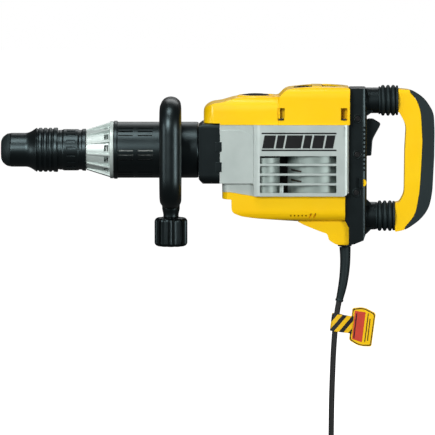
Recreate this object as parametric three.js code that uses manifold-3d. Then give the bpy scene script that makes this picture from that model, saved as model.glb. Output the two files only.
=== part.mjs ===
// Heavy SDS-max style demolition hammer, millimetres, +Z up.
// Origin: on the hammer axis, in the middle of the collar that the side handle clamps.
// The tool end points along -X, the rear handle is at +X.
import * as THREE from 'three';
import { mergeVertices } from 'three/addons/utils/BufferGeometryUtils.js';
import Module from 'manifold-3d';

const wasm = await Module();
wasm.setup();

// ---- driving dimensions -------------------------------------------------

const gap = 0.3;              // left between pieces that touch
const wall = 3.5;             // plastic covers
const castWall = 4.5;         // magnesium castings

const noseTip = -296.6;       // front of the dust cap
const capRear = -280.5;       // dust cap meets the locking sleeve
const sleeveRear = -197.4;    // back edge of the locking sleeve
const collarFront = -195.5;   // indexing collar
const collarRear = -148.2;
const flangeFront = -147.6;   // ribbed front casting
const barrelFront = -99.6;    // slotted barrel cover
const barrelRear = 48.3;
const barrelRadius = 49;
const socketRadius = 9.2;     // takes an 18 mm tool shank
const holderRadius = 19;
const cylinderBore = 22;

const gearboxRear = 85.4;     // black gearbox front
const crankcaseRear = 143.5;
const housingRear = 309.8;    // back of the motor housing
const housingTop = 46.3;
const housingBottom = -77.7;
const crankcaseHalfWidth = 50;
const housingHalfWidth = 55;

const crankX = 150;           // vertical crank axis
const layshaftX = 202;        // vertical axis of the reduction gear
const motorX = 250;           // vertical motor axis
const crankRadius = 22;       // half the piston stroke
const rodLength = 92;
const rodHalfHeight = 8;
const wristX = crankX - crankRadius - rodLength;

const finalModule = 2;        // reduction gear pinion to crank gear
const crankTeeth = 40;
const layPinionTeeth = 12;
const firstModule = 1.5;      // motor pinion to reduction gear
const layGearTeeth = 54;
const motorTeeth = 10;

const columnFront = 312;      // rear housing
const columnRear = 341.5;
const columnHalfWidth = 38;
const upperDamperZ = 86.6;    // the two handle dampers run along X
const lowerDamperZ = -115.5;
const upperStubRear = 362.3;
const lowerStubRear = 357;
const upperBellowsRear = 396.4;
const lowerBellowsRear = 391.2;
const gripHalfThickness = 19.5;

const handleBarY = -108;      // side handle loop
const handleTopZ = 77;
const handleBottomZ = -82;
const handleCorner = 38;
const knobTop = -118.5;
const knobBottom = -169;

const cordRadius = 5;
const floorZ = -565;          // what the unseen cord lies on
const coilCentre = [213.5, -90];
const coilInner = 41.5;
const coilOuter = 73.5;
const coilHeight = 30.5;

// ---- solids -------------------------------------------------------------

function solidOf(geometry) {
  const bare = geometry.index ? geometry.toNonIndexed() : geometry.clone();
  bare.deleteAttribute('normal');
  bare.deleteAttribute('uv');
  const merged = mergeVertices(bare, 1e-4);
  return new wasm.Manifold(new wasm.Mesh({
    numProp: 3,
    vertProperties: new Float32Array(merged.attributes.position.array),
    triVerts: new Uint32Array(merged.index.array),
  }));
}

function geometryOf(solid) {
  const mesh = solid.getMesh();
  const corners = new Float32Array(mesh.vertProperties.length / mesh.numProp * 3);
  for (let i = 0; i < corners.length / 3; i += 1) {
    for (let k = 0; k < 3; k += 1) {
      corners[i * 3 + k] = mesh.vertProperties[i * mesh.numProp + k];
    }
  }
  const geometry = new THREE.BufferGeometry();
  geometry.setAttribute('position', new THREE.BufferAttribute(corners, 3));
  geometry.setIndex(new THREE.BufferAttribute(new Uint32Array(mesh.triVerts), 1));
  geometry.computeVertexNormals();
  return geometry;
}

const join = (first, ...others) => others.reduce((whole, other) => whole.add(other), first);
const cut = (first, ...tools) => tools.reduce((left, tool) => left.subtract(tool), first);
const common = (first, ...others) => others.reduce((left, other) => left.intersect(other), first);

function box(x0, x1, y0, y1, z0, z1) {
  const geometry = new THREE.BoxGeometry(x1 - x0, y1 - y0, z1 - z0);
  return solidOf(geometry.translate((x0 + x1) / 2, (y0 + y1) / 2, (z0 + z1) / 2));
}

// A closed profile of [along, radius] points turned about its own axis, faces outwards.
function turned(profile, sides) {
  const points = profile.map(([along, radius]) => new THREE.Vector2(radius, along));
  const area = THREE.ShapeUtils.area(points);
  if (area < 0) points.reverse();
  points.push(points[0].clone());
  return new THREE.LatheGeometry(points, sides);
}

const turnX = (profile, sides = 20) => solidOf(turned(profile, sides).rotateZ(-Math.PI / 2));
const turnZ = (profile, x, y, sides = 20) =>
  solidOf(turned(profile, sides).rotateX(Math.PI / 2).translate(x, y, 0));

const rodX = (x0, x1, y, z, radius, sides = 16) =>
  turnX([[x0, 0], [x0, radius], [x1, radius], [x1, 0]], sides).translate([0, y, z]);
const rodY = (y0, y1, x, z, radius, sides = 12) =>
  rodX(y0, y1, 0, 0, radius, sides).rotate([0, 0, 90]).translate([x, 0, z]);
const rodZ = (z0, z1, x, y, radius, sides = 20) =>
  turnZ([[z0, 0], [z0, radius], [z1, radius], [z1, 0]], x, y, sides);

// Corners are [a, b] or [a, b, radius].
function outline(corners) {
  const shape = new THREE.Shape();
  const count = corners.length;
  corners.forEach(([a, b, radius = 0], i) => {
    const here = new THREE.Vector2(a, b);
    const before = new THREE.Vector2(...corners[(i + count - 1) % count].slice(0, 2)).sub(here);
    const after = new THREE.Vector2(...corners[(i + 1) % count].slice(0, 2)).sub(here);
    const round = Math.min(radius, 0.48 * before.length(), 0.48 * after.length());
    const start = here.clone().addScaledVector(before.normalize(), round);
    const end = here.clone().addScaledVector(after.normalize(), round);
    if (i === 0) shape.moveTo(start.x, start.y);
    else shape.lineTo(start.x, start.y);
    if (round > 0) shape.quadraticCurveTo(here.x, here.y, end.x, end.y);
  });
  shape.closePath();
  return shape;
}

function extrude(corners, depth, options = {}) {
  const settings = { depth, bevelEnabled: false, curveSegments: 4, ...options };
  return new THREE.ExtrudeGeometry(outline(corners), settings);
}

const slabZ = (corners, z0, z1, options) =>
  solidOf(extrude(corners, z1 - z0, options).translate(0, 0, z0));
const slabY = (corners, y0, y1, options) =>
  solidOf(extrude(corners, y1 - y0, options).rotateX(Math.PI / 2).translate(0, y1, 0));
const intoX = new THREE.Matrix4().makeBasis(
  new THREE.Vector3(0, 1, 0), new THREE.Vector3(0, 0, 1), new THREE.Vector3(1, 0, 0));
const slabX = (corners, x0, x1, options) =>
  solidOf(extrude(corners, x1 - x0, options).applyMatrix4(intoX).translate(x0, 0, 0));

// A tube through points, with its own radius at each point.
function taperedTube(points, radii, sides, firstSide) {
  const path = points.map((point) => new THREE.Vector3(...point));
  const corners = [];
  let side = new THREE.Vector3(...firstSide);
  path.forEach((point, i) => {
    const ahead = path[Math.min(i + 1, path.length - 1)];
    const behind = path[Math.max(i - 1, 0)];
    const along = ahead.clone().sub(behind).normalize();
    side = side.clone().addScaledVector(along, -side.dot(along)).normalize();
    const across = along.clone().cross(side);
    for (let k = 0; k < sides; k += 1) {
      const turn = k / sides * 2 * Math.PI;
      const spoke = side.clone().multiplyScalar(Math.cos(turn)).addScaledVector(across, Math.sin(turn));
      corners.push(point.clone().addScaledVector(spoke, radii[i]));
    }
  });
  corners.push(path[0], path[path.length - 1]);
  const faces = [];
  for (let i = 0; i < path.length - 1; i += 1) {
    for (let k = 0; k < sides; k += 1) {
      const a = i * sides + k;
      const b = i * sides + (k + 1) % sides;
      faces.push(a, b, a + sides, b, b + sides, a + sides);
    }
  }
  const last = (path.length - 1) * sides;
  for (let k = 0; k < sides; k += 1) {
    const next = (k + 1) % sides;
    faces.push(corners.length - 2, next, k, corners.length - 1, last + k, last + next);
  }
  const geometry = new THREE.BufferGeometry().setFromPoints(corners);
  geometry.setIndex(faces);
  return solidOf(geometry);
}

// A round section swept along a curve through the points.
function sweep(points, radius, steps, sides = 8) {
  const section = new THREE.Shape();
  for (let k = 0; k < sides; k += 1) {
    const turn = k / sides * 2 * Math.PI;
    section[k ? 'lineTo' : 'moveTo'](radius * Math.cos(turn), radius * Math.sin(turn));
  }
  section.closePath();
  const extrudePath = new THREE.CatmullRomCurve3(points.map((point) => new THREE.Vector3(...point)));
  return solidOf(new THREE.ExtrudeGeometry(section, { steps, bevelEnabled: false, extrudePath }));
}

function ring(inner, outer, from, to, x, y, sides = 20) {
  return turnZ([[from, inner], [from, outer], [to, outer], [to, inner]], x, y, sides);
}

const around = (count, make) => Array.from({ length: count }, (_, i) => make(i));

// ---- the group ----------------------------------------------------------

const hammer = new THREE.Group();
const finishes = {
  yellow: { color: 0xf4b800, roughness: 0.4, metalness: 0 },
  black: { color: 0x1e2326, roughness: 0.5, metalness: 0 },
  rubber: { color: 0x17191b, roughness: 0.75, metalness: 0 },
  silver: { color: 0xaeb8b5, roughness: 0.4, metalness: 0.6 },
  steel: { color: 0x9a9da0, roughness: 0.3, metalness: 1 },
  copper: { color: 0xb06a3c, roughness: 0.4, metalness: 1 },
  tag: { color: 0xf2c200, roughness: 0.6, metalness: 0 },
};

function add(name, solid, finish) {
  const mesh = new THREE.Mesh(geometryOf(solid), new THREE.MeshStandardMaterial(finishes[finish]));
  mesh.name = name;
  hammer.add(mesh);
}

// ---- tool holder --------------------------------------------------------

const segmentFront = -270;
const segmentRear = -254;
const segmentHalfWidth = 4;
const holderFront = -290;
const holderRear = -110;

add('nose_cap', turnX([
  [noseTip, 10.2], [noseTip, 15.5], [-294, 21.9], [-288.8, 26.3], [-283.5, 29.3], [capRear, 29.3],
  [capRear, 16.6], [holderFront - gap, 16.6], [holderFront - gap, 10.2],
]), 'rubber');

const sleeveGrooves = [-227.5, -218.8, -210.2, -202.3].flatMap((x) => [
  [x - 2, 38.6], [x, 36.6], [x + 2, 38.6],
]);
const springSeat = -230;
add('locking_sleeve', turnX([
  [capRear + gap, 29.3], [-250.3, 29.6], [-243, 32.6], [-235, 38], ...sleeveGrooves, [sleeveRear, 38.6],
  [sleeveRear, 35.4], [-212, 35.4], [-212, 24.8], [springSeat, 24.8], [springSeat, 19.5],
  [springSeat - 4, 19.5], [springSeat - 4, 24.8], [capRear + gap, 24.8],
]), 'black');

const springTurns = 4.5;
add('sleeve_spring', sweep(around(springTurns * 8 + 1, (i) => {
  const turn = i / 8 * 2 * Math.PI;
  const x = springSeat + 1.8 + (collarFront - springSeat - 3.6) * i / (springTurns * 8);
  return [x, 21.9 * Math.cos(turn), 21.9 * Math.sin(turn)];
}), 1.3, springTurns * 10, 5), 'steel');

const segmentWindow = (side, clearance) => box(
  segmentFront + clearance, segmentRear - clearance,
  -segmentHalfWidth + clearance, segmentHalfWidth - clearance,
  side > 0 ? 7.4 : -16.8, side > 0 ? 16.8 : -7.4);
add('tool_holder', cut(turnX([
  [holderFront, socketRadius], [holderFront, 16.2], [-248, 16.2], [-248, holderRadius],
  [-152, holderRadius], [-152, 24], [holderRear, 24], [holderRear, 15.2], [-165, 15.2],
  [-165, socketRadius],
]), segmentWindow(1, 0), segmentWindow(-1, 0)), 'steel');
add('locking_segment_upper', segmentWindow(1, gap), 'steel');
add('locking_segment_lower', segmentWindow(-1, gap), 'steel');

add('index_collar', turnX([
  [collarFront, 34.8], [-188, 34.8], [-185, 36], [-164, 36], [-161, 34.8], [-154.2, 34.8],
  [-154.2, 35.9], [collarRear, 35.9], [collarRear, 24.6], [-155, 24.6], [-155, holderRadius + 0.4],
  [collarFront, holderRadius + 0.4],
]), 'black');

// ---- barrel -------------------------------------------------------------

const ribCount = 12;
const ribTurn = 7.5;
const flangeRing = -106.2;
const flangeCore = turnX([
  [flangeFront, 34], [flangeRing - 0.8, 41.5], [flangeRing, 49.9], [barrelFront - gap, 49.9],
  [barrelFront - gap, 40], [-108.5, 40], [-112, 24.6], [flangeFront, 24.6],
], 24);
const flangeRibs = around(ribCount, (i) => slabY(
  [[flangeFront, 28], [flangeRing + 1, 38], [flangeRing + 1, 49.2], [flangeFront, 35.2]], -1.8, 1.8,
).rotate([ribTurn + i * 30, 0, 0]));
const flangeWindows = around(6, (i) => box(-114, -109, -5, 5, 30, 60).rotate([-67.5 + i * 60, 0, 0]));
const flangeRecess = rodX(-108.5, -99, 0, 0, 40, 24);
add('front_flange', cut(join(flangeCore, ...flangeRibs), flangeRecess, ...flangeWindows), 'silver');

const slotGroups = 7;
const slotSpacing = 9.7;
const slotColumns = [[-91.9, -65.3], [-57.8, -31.2]];
const barrelSlots = around(slotGroups, (i) => i).flatMap((i) => [-1, 0, 1].flatMap((k) =>
  slotColumns.map(([x0, x1]) => box(x0, x1, -55, -40, -1.2, 1.2)
    .rotate([7.3 + i * 360 / slotGroups + k * slotSpacing, 0, 0]))));
add('barrel_sleeve', cut(turnX([
  [barrelFront, 50.8], [-92.8, 50.8], [-92.8, barrelRadius], [barrelRear, barrelRadius],
  [barrelRear, 45], [barrelFront, 45],
], 28), ...barrelSlots), 'black');

add('cylinder', turnX([
  [-106, 39], [-100.3, 39], [-100.3, 27], [90, 27], [90, cylinderBore], [-106, cylinderBore],
], 24), 'steel');

// ---- striking parts -----------------------------------------------------

add('beat_piece', turnX([
  [-172, 0], [-172, 8.6], [-160.3, 8.6], [-160.3, 14.7], [-126, 14.7], [-122, 11.5], [-101, 11.5],
  [-101, 0],
]), 'steel');
add('striker', turnX([
  [-98, 0], [-98, 9], [-88, 10.5], [-88, 21.5], [-44, 21.5], [-44, 0],
]), 'steel');
const piston = turnX([[wristX - 22, 0], [wristX - 22, 21.5], [wristX + 18, 21.5], [wristX + 18, 0]]);
const pistonSlot = box(wristX - 13, wristX + 20, -30, 30, -rodHalfHeight - 0.5, rodHalfHeight + 0.5);
add('piston', cut(piston, pistonSlot, rodZ(-30, 30, wristX, 0, 5.3, 16)), 'silver');
add('wrist_pin', rodZ(-18.5, 18.5, wristX, 0, 5, 16), 'steel');

const pinX = crankX - crankRadius;
const rodBlank = join(
  rodZ(-rodHalfHeight, rodHalfHeight, wristX, 0, 10.5),
  rodZ(-rodHalfHeight, rodHalfHeight, pinX, 0, 13),
  box(wristX, pinX, -6.5, 6.5, -rodHalfHeight, rodHalfHeight));
add('connecting_rod', cut(rodBlank,
  rodZ(-10, 10, wristX, 0, 5.4, 16), rodZ(-10, 10, pinX, 0, 7, 16)), 'steel');

// ---- gears --------------------------------------------------------------

// Straight-sided teeth with backlash. turn is the angle of the first tooth's middle.
function gearOutline(teeth, module, turn) {
  const pitch = teeth * module / 2;
  const half = Math.PI / 2 / teeth * 0.86;
  const flare = Math.tan(20 * Math.PI / 180);
  const tip = pitch + 0.8 * module;
  const root = pitch - 1.15 * module;
  const at = (radius, angle) => [radius * Math.cos(angle), radius * Math.sin(angle)];
  return around(teeth, (i) => turn + i * 2 * Math.PI / teeth).flatMap((middle) => {
    const tipHalf = half - 0.8 * module * flare / pitch;
    const rootHalf = half + 0.9 * module * flare / pitch;
    return [at(root, middle - rootHalf), at(tip, middle - tipHalf),
      at(tip, middle + tipHalf), at(root, middle + rootHalf)];
  });
}

const gear = (teeth, module, turn, x, z0, z1) =>
  slabZ(gearOutline(teeth, module, turn), z0, z1).translate([x, 0, 0]);

const firstGearZ = [48, 58];
const finalGearZ = [62, 74];
const crankDiscZ = [12, 22];
const pinBottom = rodHalfHeight + 0.5;
const crankDisc = join(
  rodZ(...crankDiscZ, crankX, 0, 32, 28),
  rodZ(pinBottom, crankDiscZ[0] + 1, pinX, 0, 6, 16),
  rodZ(crankDiscZ[1] - 1, 80, crankX, 0, 9));
add('crankshaft', crankDisc, 'steel');
add('crank_gear', cut(
  gear(crankTeeth, finalModule, 0, crankX, ...finalGearZ), rodZ(60, 76, crankX, 0, 9 + gap)), 'steel');
add('reduction_gear', join(
  gear(layGearTeeth, firstModule, 0, layshaftX, ...firstGearZ),
  gear(layPinionTeeth, finalModule, Math.PI / layPinionTeeth, layshaftX, firstGearZ[1] - 1, finalGearZ[1]),
  rodZ(30, 80, layshaftX, 0, 6)), 'steel');

// ---- motor --------------------------------------------------------------

const plateZ = [26, 43];
const coreZ = [-62, -8];
const commutatorZ = [-94, -74];
const lowerBearingZ = [-113, -102];
add('motor_shaft', join(
  rodZ(-112, 47, motorX, 0, 5),
  gear(motorTeeth, firstModule, Math.PI / motorTeeth, motorX, 46, 60)), 'steel');
add('armature_core', ring(5 + gap, 27, ...coreZ, motorX, 0), 'steel');
add('commutator', ring(5 + gap, 14, ...commutatorZ, motorX, 0), 'copper');
const fanBlades = around(9, (i) => box(12, 41, -1, 1, 2, 20).rotate([0, 0, i * 40])
  .translate([motorX, 0, 0]));
add('fan', cut(join(rodZ(0, 3, motorX, 0, 42), rodZ(0, 14, motorX, 0, 13, 16), ...fanBlades),
  rodZ(-5, 25, motorX, 0, 5 + gap)), 'black');
add('stator', cut(rodZ(-68, -4, motorX, 0, 44, 28), rodZ(-70, 0, motorX, 0, 28.2, 28)), 'steel');
add('bearing_upper', ring(5 + gap, 14, 30, 40, motorX, 0), 'steel');
add('bearing_lower', ring(5 + gap, 11, ...lowerBearingZ, motorX, 0), 'steel');
for (const [name, side] of [['brush_holder_left', -1], ['brush_holder_right', 1]]) {
  const [near, far] = side < 0 ? [-38, -14.5] : [14.5, 38];
  add(name, box(motorX - 8, motorX + 8, near, far, -92, -76), 'copper');
}

const bearingPlate = slabZ([
  [100, -44, 8], [144, -44], [154, -49], [300, -49, 6], [300, 49, 6], [154, 49], [144, 44],
  [100, 44, 8],
], ...plateZ);
add('bearing_plate', cut(bearingPlate, rodZ(20, 50, crankX, 0, 9.5),
  rodZ(20, 50, layshaftX, 0, 6.4), rodZ(20, 50, motorX, 0, 14.3)), 'silver');

// ---- castings -----------------------------------------------------------

const gearboxSection = (inset) => [
  [-50 + inset, -57 + inset, 16], [50 - inset, -57 + inset, 16], [50 - inset, 49 - inset, 8],
  [-50 + inset, 49 - inset, 8],
];
const gearboxSide = slabY([
  [barrelRear + gap, -48], [56, -57], [90, -57], [90, 49], [barrelRear + gap, 49],
], -60, 60);
const gearboxShell = cut(
  common(slabX(gearboxSection(0), barrelRear + gap, gearboxRear), gearboxSide),
  slabX(gearboxSection(castWall), 56, gearboxRear + 1));
const gearboxHub = turnX([[50, 27.4], [50, 33], [gearboxRear, 33], [gearboxRear, 27.4]]);
add('gearbox_front', cut(join(gearboxShell, gearboxHub), rodX(40, 100, 0, 0, 27.4, 24)), 'black');

const bossHalfWidth = 44;
const crankcaseUpper = box(
  gearboxRear + gap, crankcaseRear, -crankcaseHalfWidth, crankcaseHalfWidth, -55.5, housingTop);
const crankcaseLower = slabZ([
  [89.5, -bossHalfWidth, 14], [crankcaseRear, -bossHalfWidth], [crankcaseRear, bossHalfWidth],
  [89.5, bossHalfWidth, 14],
], housingBottom, -50);
const crankcaseSlope = slabY([
  [80, -70.7], [103, -70.7], [crankcaseRear, housingBottom], [160, -90], [80, -90],
], -60, 60);
const crankcaseInside = join(
  box(gearboxRear + 5, 150, -crankcaseHalfWidth + castWall, crankcaseHalfWidth - castWall, -51, 60),
  box(96, 150, -bossHalfWidth + castWall, bossHalfWidth - castWall, -80, -45));
add('crankcase', cut(join(crankcaseUpper, crankcaseLower), crankcaseSlope, crankcaseInside,
  rodX(80, 100, 0, 0, 27.4, 24)), 'silver');

const housingPlan = (inset) => [
  [crankcaseRear + gap, -crankcaseHalfWidth + inset], [152, -housingHalfWidth + inset],
  [housingRear - inset, -housingHalfWidth + inset, 9], [housingRear - inset, housingHalfWidth - inset, 9],
  [152, housingHalfWidth - inset], [crankcaseRear + gap, crankcaseHalfWidth - inset],
];
const housingInside = join(
  slabZ(housingPlan(castWall), housingBottom - 5, housingTop + 5),
  box(140, 160, -45.5, 45.5, housingBottom - 5, housingTop + 5));
const housingChamfer = slabY([[300, -80], [312, -80], [312, -68]], -60, 60);
const louvreFirst = -20.7;    // bottom of the top louvre
const louvrePitch = 17;
const louvreHeight = 13.4;
const louvres = around(4, (i) => box(155, 288, -60, 60,
  louvreFirst - i * louvrePitch, louvreFirst - i * louvrePitch + louvreHeight));
add('motor_housing', cut(slabZ(housingPlan(0), housingBottom, housingTop),
  housingInside, housingChamfer, ...louvres), 'silver');

// ---- covers -------------------------------------------------------------

const coverBottom = housingTop + gap;
const coverSide = [
  [57.4, 52.8], [57.4, 74, 9], [71, 83.2, 8], [90, 85.6], [113, 93], [189, 95], [200, 108, 8],
  [240.5, 112.6], [270.7, 113.4], [300, 111.5], [311.5, 109.6, 3], [311.5, coverBottom],
  [gearboxRear + gap, coverBottom], [gearboxRear + gap, 52.8],
];
const coverFrontSection = (inset) => [
  [-50 + inset, 40], [50 - inset, 40], [50 - inset, 97 - inset, 27], [-50 + inset, 97 - inset, 27],
];
const coverRearSection = (inset) => [
  [-53 + inset, 40], [53 - inset, 40], [53 - inset, 114 - inset, 20], [-53 + inset, 114 - inset, 20],
];
const coverPlan = (inset) => slabZ([
  [57.4 + inset, -52 + inset, 32], [311.5 - inset, -56 + inset, 6], [311.5 - inset, 56 - inset, 6],
  [57.4 + inset, 52 - inset, 32],
], 30, 120);
const coverBody = (inset) => common(
  join(slabX(coverFrontSection(inset), 50, 260), slabX(coverRearSection(inset), 184, 320)),
  coverPlan(inset));
const coverInside = common(coverBody(wall), slabY(coverSide, -60, 60).translate([0, 0, -wall]));
const capSeat = rodZ(80, 120, 148, 0, 24.6);
const ventRadius = 40.8;
const ventX = 254.6;
const coverRim = ring(33, 36.5, 90, 96.4, 152.7, 0);
const screwWells = [[185.5, 197.8], [295.4, 306.8]].flatMap(([x0, x1]) => [-1, 1].map((side) =>
  box(x0, x1, side < 0 ? -60 : 48, side < 0 ? -48 : 60, 54.5, 76)));
add('top_cover', cut(
  join(common(coverBody(0), slabY(coverSide, -60, 60)), coverRim), coverInside,
  box(80, 320, -49, 49, 40, coverBottom + 2), capSeat, rodZ(100, 120, ventX, 0, ventRadius, 24),
  ...screwWells), 'yellow');
add('crankcase_cap', turnZ([
  [86, 0], [86, 24.2], [96.5, 24.2], [98, 20], [98.8, 0],
], 148, 0), 'black');
const grilleSlots = around(7, (i) => -27 + i * 9).map((x) =>
  box(ventX + x - 2.5, ventX + x + 2.5, -Math.sqrt(34 ** 2 - x ** 2), Math.sqrt(34 ** 2 - x ** 2), 95, 120));
const grilleTop = 110.5;
const grilleDisc = rodZ(grilleTop - 4, grilleTop, ventX, 0, ventRadius - gap, 24);
add('vent_grille', cut(grilleDisc, ...grilleSlots), 'black');

const lowerTop = housingBottom - gap;
const lowerSide = (inset) => [
  [89.6, -71 + inset], [103, -71 + inset], [crankcaseRear, lowerTop + inset], [303.4, lowerTop + inset],
  [303.4, -122], [310.2, -134], [310.2 - inset, -164.5 + inset, 2],
  [288.8, -164.5 + inset, 4], [275.6, -156 + inset], [272.7 + inset, -145 + inset],
  [259.4, -140.5 + inset], [231, -129 + inset], [219.6, -122.5 + inset], [146, -117 + inset],
  [120.9, -113 + inset, 6], [105.7 + inset, -106 + inset, 5], [105.7 + inset, -84], [89.6, -83],
];
const lowerMain = (inset) => slabX([
  [-46 + inset, -60], [46 - inset, -60], [46 - inset, -123 + inset, 20], [-46 + inset, -123 + inset, 20],
].reverse(), 80, 320);
const lowerFoot = (inset) => slabX([
  [-30 + inset, -60], [30 - inset, -60], [30 - inset, -168, 8], [-30 + inset, -168, 8],
].reverse(), 222 + inset, 320);
const lowerPlan = (inset) => slabZ([
  [89.6 + inset, -50 + inset, 20], [310.2 - inset, -50 + inset, 4], [310.2 - inset, 50 - inset, 4],
  [89.6 + inset, 50 - inset, 20],
], -180, -60);
const lowerInset = common(
  join(lowerMain(wall), lowerFoot(wall)), lowerPlan(wall),
  slabY(lowerSide(wall), -60, 60), box(108, 300, -60, 60, -180, lowerTop + 10));
const motorSeat = turnZ([[-136, 16], [-101, 16], [-101, 11.3], [-136, 11.3]], motorX, 0, 16);
add('lower_cover', join(cut(
  common(join(lowerMain(0), lowerFoot(0)), lowerPlan(0), slabY(lowerSide(0), -60, 60)),
  lowerInset, box(115, 298, -42, 42, -90, -70), rodZ(-170, -150, 300, 0, 7.4, 12)), motorSeat), 'yellow');

// ---- rear housing -------------------------------------------------------

const columnSide = (inset) => [
  [columnFront + inset, 109 - inset, 2], [columnRear - inset, 109 - inset, 4], [columnRear - inset, -140],
  [336, -156 + inset], [320, -162.5 + inset], [310.5 + inset, -164 + inset], [310.5 + inset, -133.6],
  [303.7 + inset, -121.6], [303.7 + inset, -84 - inset], [columnFront + inset, -78 - inset],
];
const columnPlan = (inset) => [
  [300 + inset, -columnHalfWidth + inset], [columnRear - inset, -columnHalfWidth + inset, 9],
  [columnRear - inset, columnHalfWidth - inset, 9], [300 + inset, columnHalfWidth - inset],
];
const column = (inset) => common(
  slabY(columnSide(inset), -columnHalfWidth + inset, columnHalfWidth - inset),
  slabZ(columnPlan(inset), -180, 120));
const stubs = join(
  rodX(columnFront + 4, upperStubRear, 0, upperDamperZ, 22.6, 18),
  rodX(columnFront + 4, lowerStubRear, 0, lowerDamperZ, 24.4, 18));
const stubBores = join(
  rodX(325, 380, 0, upperDamperZ, 17), rodX(325, 380, 0, lowerDamperZ, 17));
const triggerRecess = box(329.5, 350, -12.5, 12.5, -13, 58);
const screwPlaces = [['top', 325.5, 56.5], ['middle', 324.5, -6], ['bottom', 323.4, -72.5]];
const screwWell = screwPlaces.map(([, x, z]) => rodY(-45, -columnHalfWidth + 4, x, z, 5.4));
const screwPosts = screwPlaces.map(([, x, z]) =>
  rodY(-columnHalfWidth + 1, columnHalfWidth - 1, x, z, 8.5, 12));
const screwBores = screwPlaces.map(([, x, z]) => rodY(-45, 22, x, z, 3, 8));
const dialWell = rodY(-45, -columnHalfWidth + 2.5, 334.5, -55, 7);
const rearBlank = cut(
  join(cut(join(column(0), stubs), column(wall)), ...screwPosts),
  stubBores, triggerRecess, ...screwWell, ...screwBores, dialWell);
for (const [name, y0, y1] of [['rear_housing_left', -60, -gap / 2], ['rear_housing_right', gap / 2, 60]]) {
  add(name, common(rearBlank, box(290, 400, y0, y1, -180, 130)), 'black');
}
for (const [place, x, z] of screwPlaces) {
  add(`rear_screw_${place}`, join(
    rodY(-columnHalfWidth + 4 + gap - 3, -columnHalfWidth + 4 + gap, x, z, 4.6),
    rodY(-columnHalfWidth + 4, 20, x, z, 2.6, 8)).translate([0, gap - 0.9, 0]), 'steel');
}

add('trigger', slabY([
  [338, 50, 2], [345, 54.5, 2], [353, 54.4, 2], [366, 46.5, 2], [364.5, 42, 2], [352, 19, 6],
  [350, -9.5, 2], [339, -10.5, 2],
], -11.5, 11.5), 'black');
add('switch_module', box(316, 328.5, -13, 13, 4, 46), 'black');
add('control_module', box(316, 334, -30, 30, -50, -18), 'black');
add('speed_dial', rodY(-columnHalfWidth - 2, -columnHalfWidth + 2.2, 334.5, -55, 6.5, 12), 'yellow');

// ---- rear handle --------------------------------------------------------

const bellows = (front, rear, z, outer) => {
  const pitch = (rear - front - 6) / 3;
  const folds = around(3, (i) => front + 3 + i * pitch).flatMap((x) => [
    [x, outer - 3.4], [x + pitch * 0.3, outer], [x + pitch * 0.7, outer],
  ]);
  return turnX([
    [front, outer - 2], [front + 2, outer - 2], ...folds, [rear - 2, outer - 1], [rear, outer - 1],
    [rear, 19], [front, 19],
  ], 16).translate([0, 0, z]);
};
add('bellows_upper', bellows(upperStubRear + gap, upperBellowsRear, upperDamperZ, 27), 'rubber');
add('bellows_lower', bellows(lowerStubRear + gap, lowerBellowsRear, lowerDamperZ, 26.8), 'rubber');
const damperRod = (rear, z) => join(
  rodX(342, rear + 14, 0, z, 8, 12), rodX(338, 343, 0, z, 15, 16));
add('damper_rod_upper', damperRod(upperBellowsRear, upperDamperZ), 'steel');
add('damper_rod_lower', damperRod(lowerBellowsRear, lowerDamperZ), 'steel');

const handleOutline = [
  [upperBellowsRear + gap, 107.5, 2], [419, 105.5, 10], [444, 90, 16], [458.4, 66, 10], [460, 34, 10],
  [459.4, -10], [456.4, -73, 12], [450.6, -101, 12], [436, -121, 12], [411, -138.5, 14],
  [lowerBellowsRear + gap, -142.5, 2], [lowerBellowsRear + gap, -92, 2], [399, -91, 10],
  [407.4, -76, 12], [408.2, 0], [410.6, 44, 10], [398, 66.5, 6], [upperBellowsRear + gap, 66.5],
];
const handleSection = (corner) => [
  [-gripHalfThickness, -150], [gripHalfThickness, -150], [gripHalfThickness, corner, 9],
  [-gripHalfThickness, corner, 9],
];
const handleBody = common(
  slabY(handleOutline, -gripHalfThickness, gripHalfThickness),
  slabX(handleSection(108), 380, 470));
const seamOutside = [
  [417, 125], [417, 101], [429, 88, 10], [436, 66, 8], [438.8, 16], [436.6, -34], [434, -73, 12],
  [427, -112, 12], [409, -134], [402, -160], [480, -160], [480, 125],
];
const seamInside = seamOutside.slice(0, 10).map(([x, z, r]) => [x - gap, z, r])
  .concat([[380, -160], [380, 125]]);
const rodHoles = join(
  rodX(390, upperBellowsRear + 15, 0, upperDamperZ, 8.4, 12),
  rodX(385, lowerBellowsRear + 15, 0, lowerDamperZ, 8.4, 12));
add('handle_frame', cut(common(handleBody, slabY(seamInside, -40, 40)), rodHoles), 'yellow');
add('handle_overmould', common(handleBody, slabY(seamOutside, -40, 40)), 'rubber');

// ---- side handle --------------------------------------------------------

const loopPath = new THREE.CurvePath();
const loopCorner = (y, z) => new THREE.Vector3(0, y, z);
const loopLines = [
  [[14, handleTopZ], [handleBarY + handleCorner, handleTopZ]],
  [[handleBarY, handleTopZ - handleCorner], [handleBarY, handleBottomZ + handleCorner]],
  [[handleBarY + handleCorner, handleBottomZ], [14, handleBottomZ]],
];
const cornerPoints = [[handleBarY, handleTopZ], [handleBarY, handleBottomZ]];
loopLines.forEach(([from, to], i) => {
  loopPath.add(new THREE.LineCurve3(loopCorner(...from), loopCorner(...to)));
  if (i < 2) {
    loopPath.add(new THREE.QuadraticBezierCurve3(
      loopCorner(...to), loopCorner(...cornerPoints[i]), loopCorner(...loopLines[i + 1][0])));
  }
});
const loopSteps = 18;
const loopPoints = around(loopSteps + 1, (i) => loopPath.getPointAt(i / loopSteps).toArray());
const loopRadii = around(loopSteps + 1, (i) => 15.6 + 1.6 * Math.sin(i / loopSteps * Math.PI));
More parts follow.
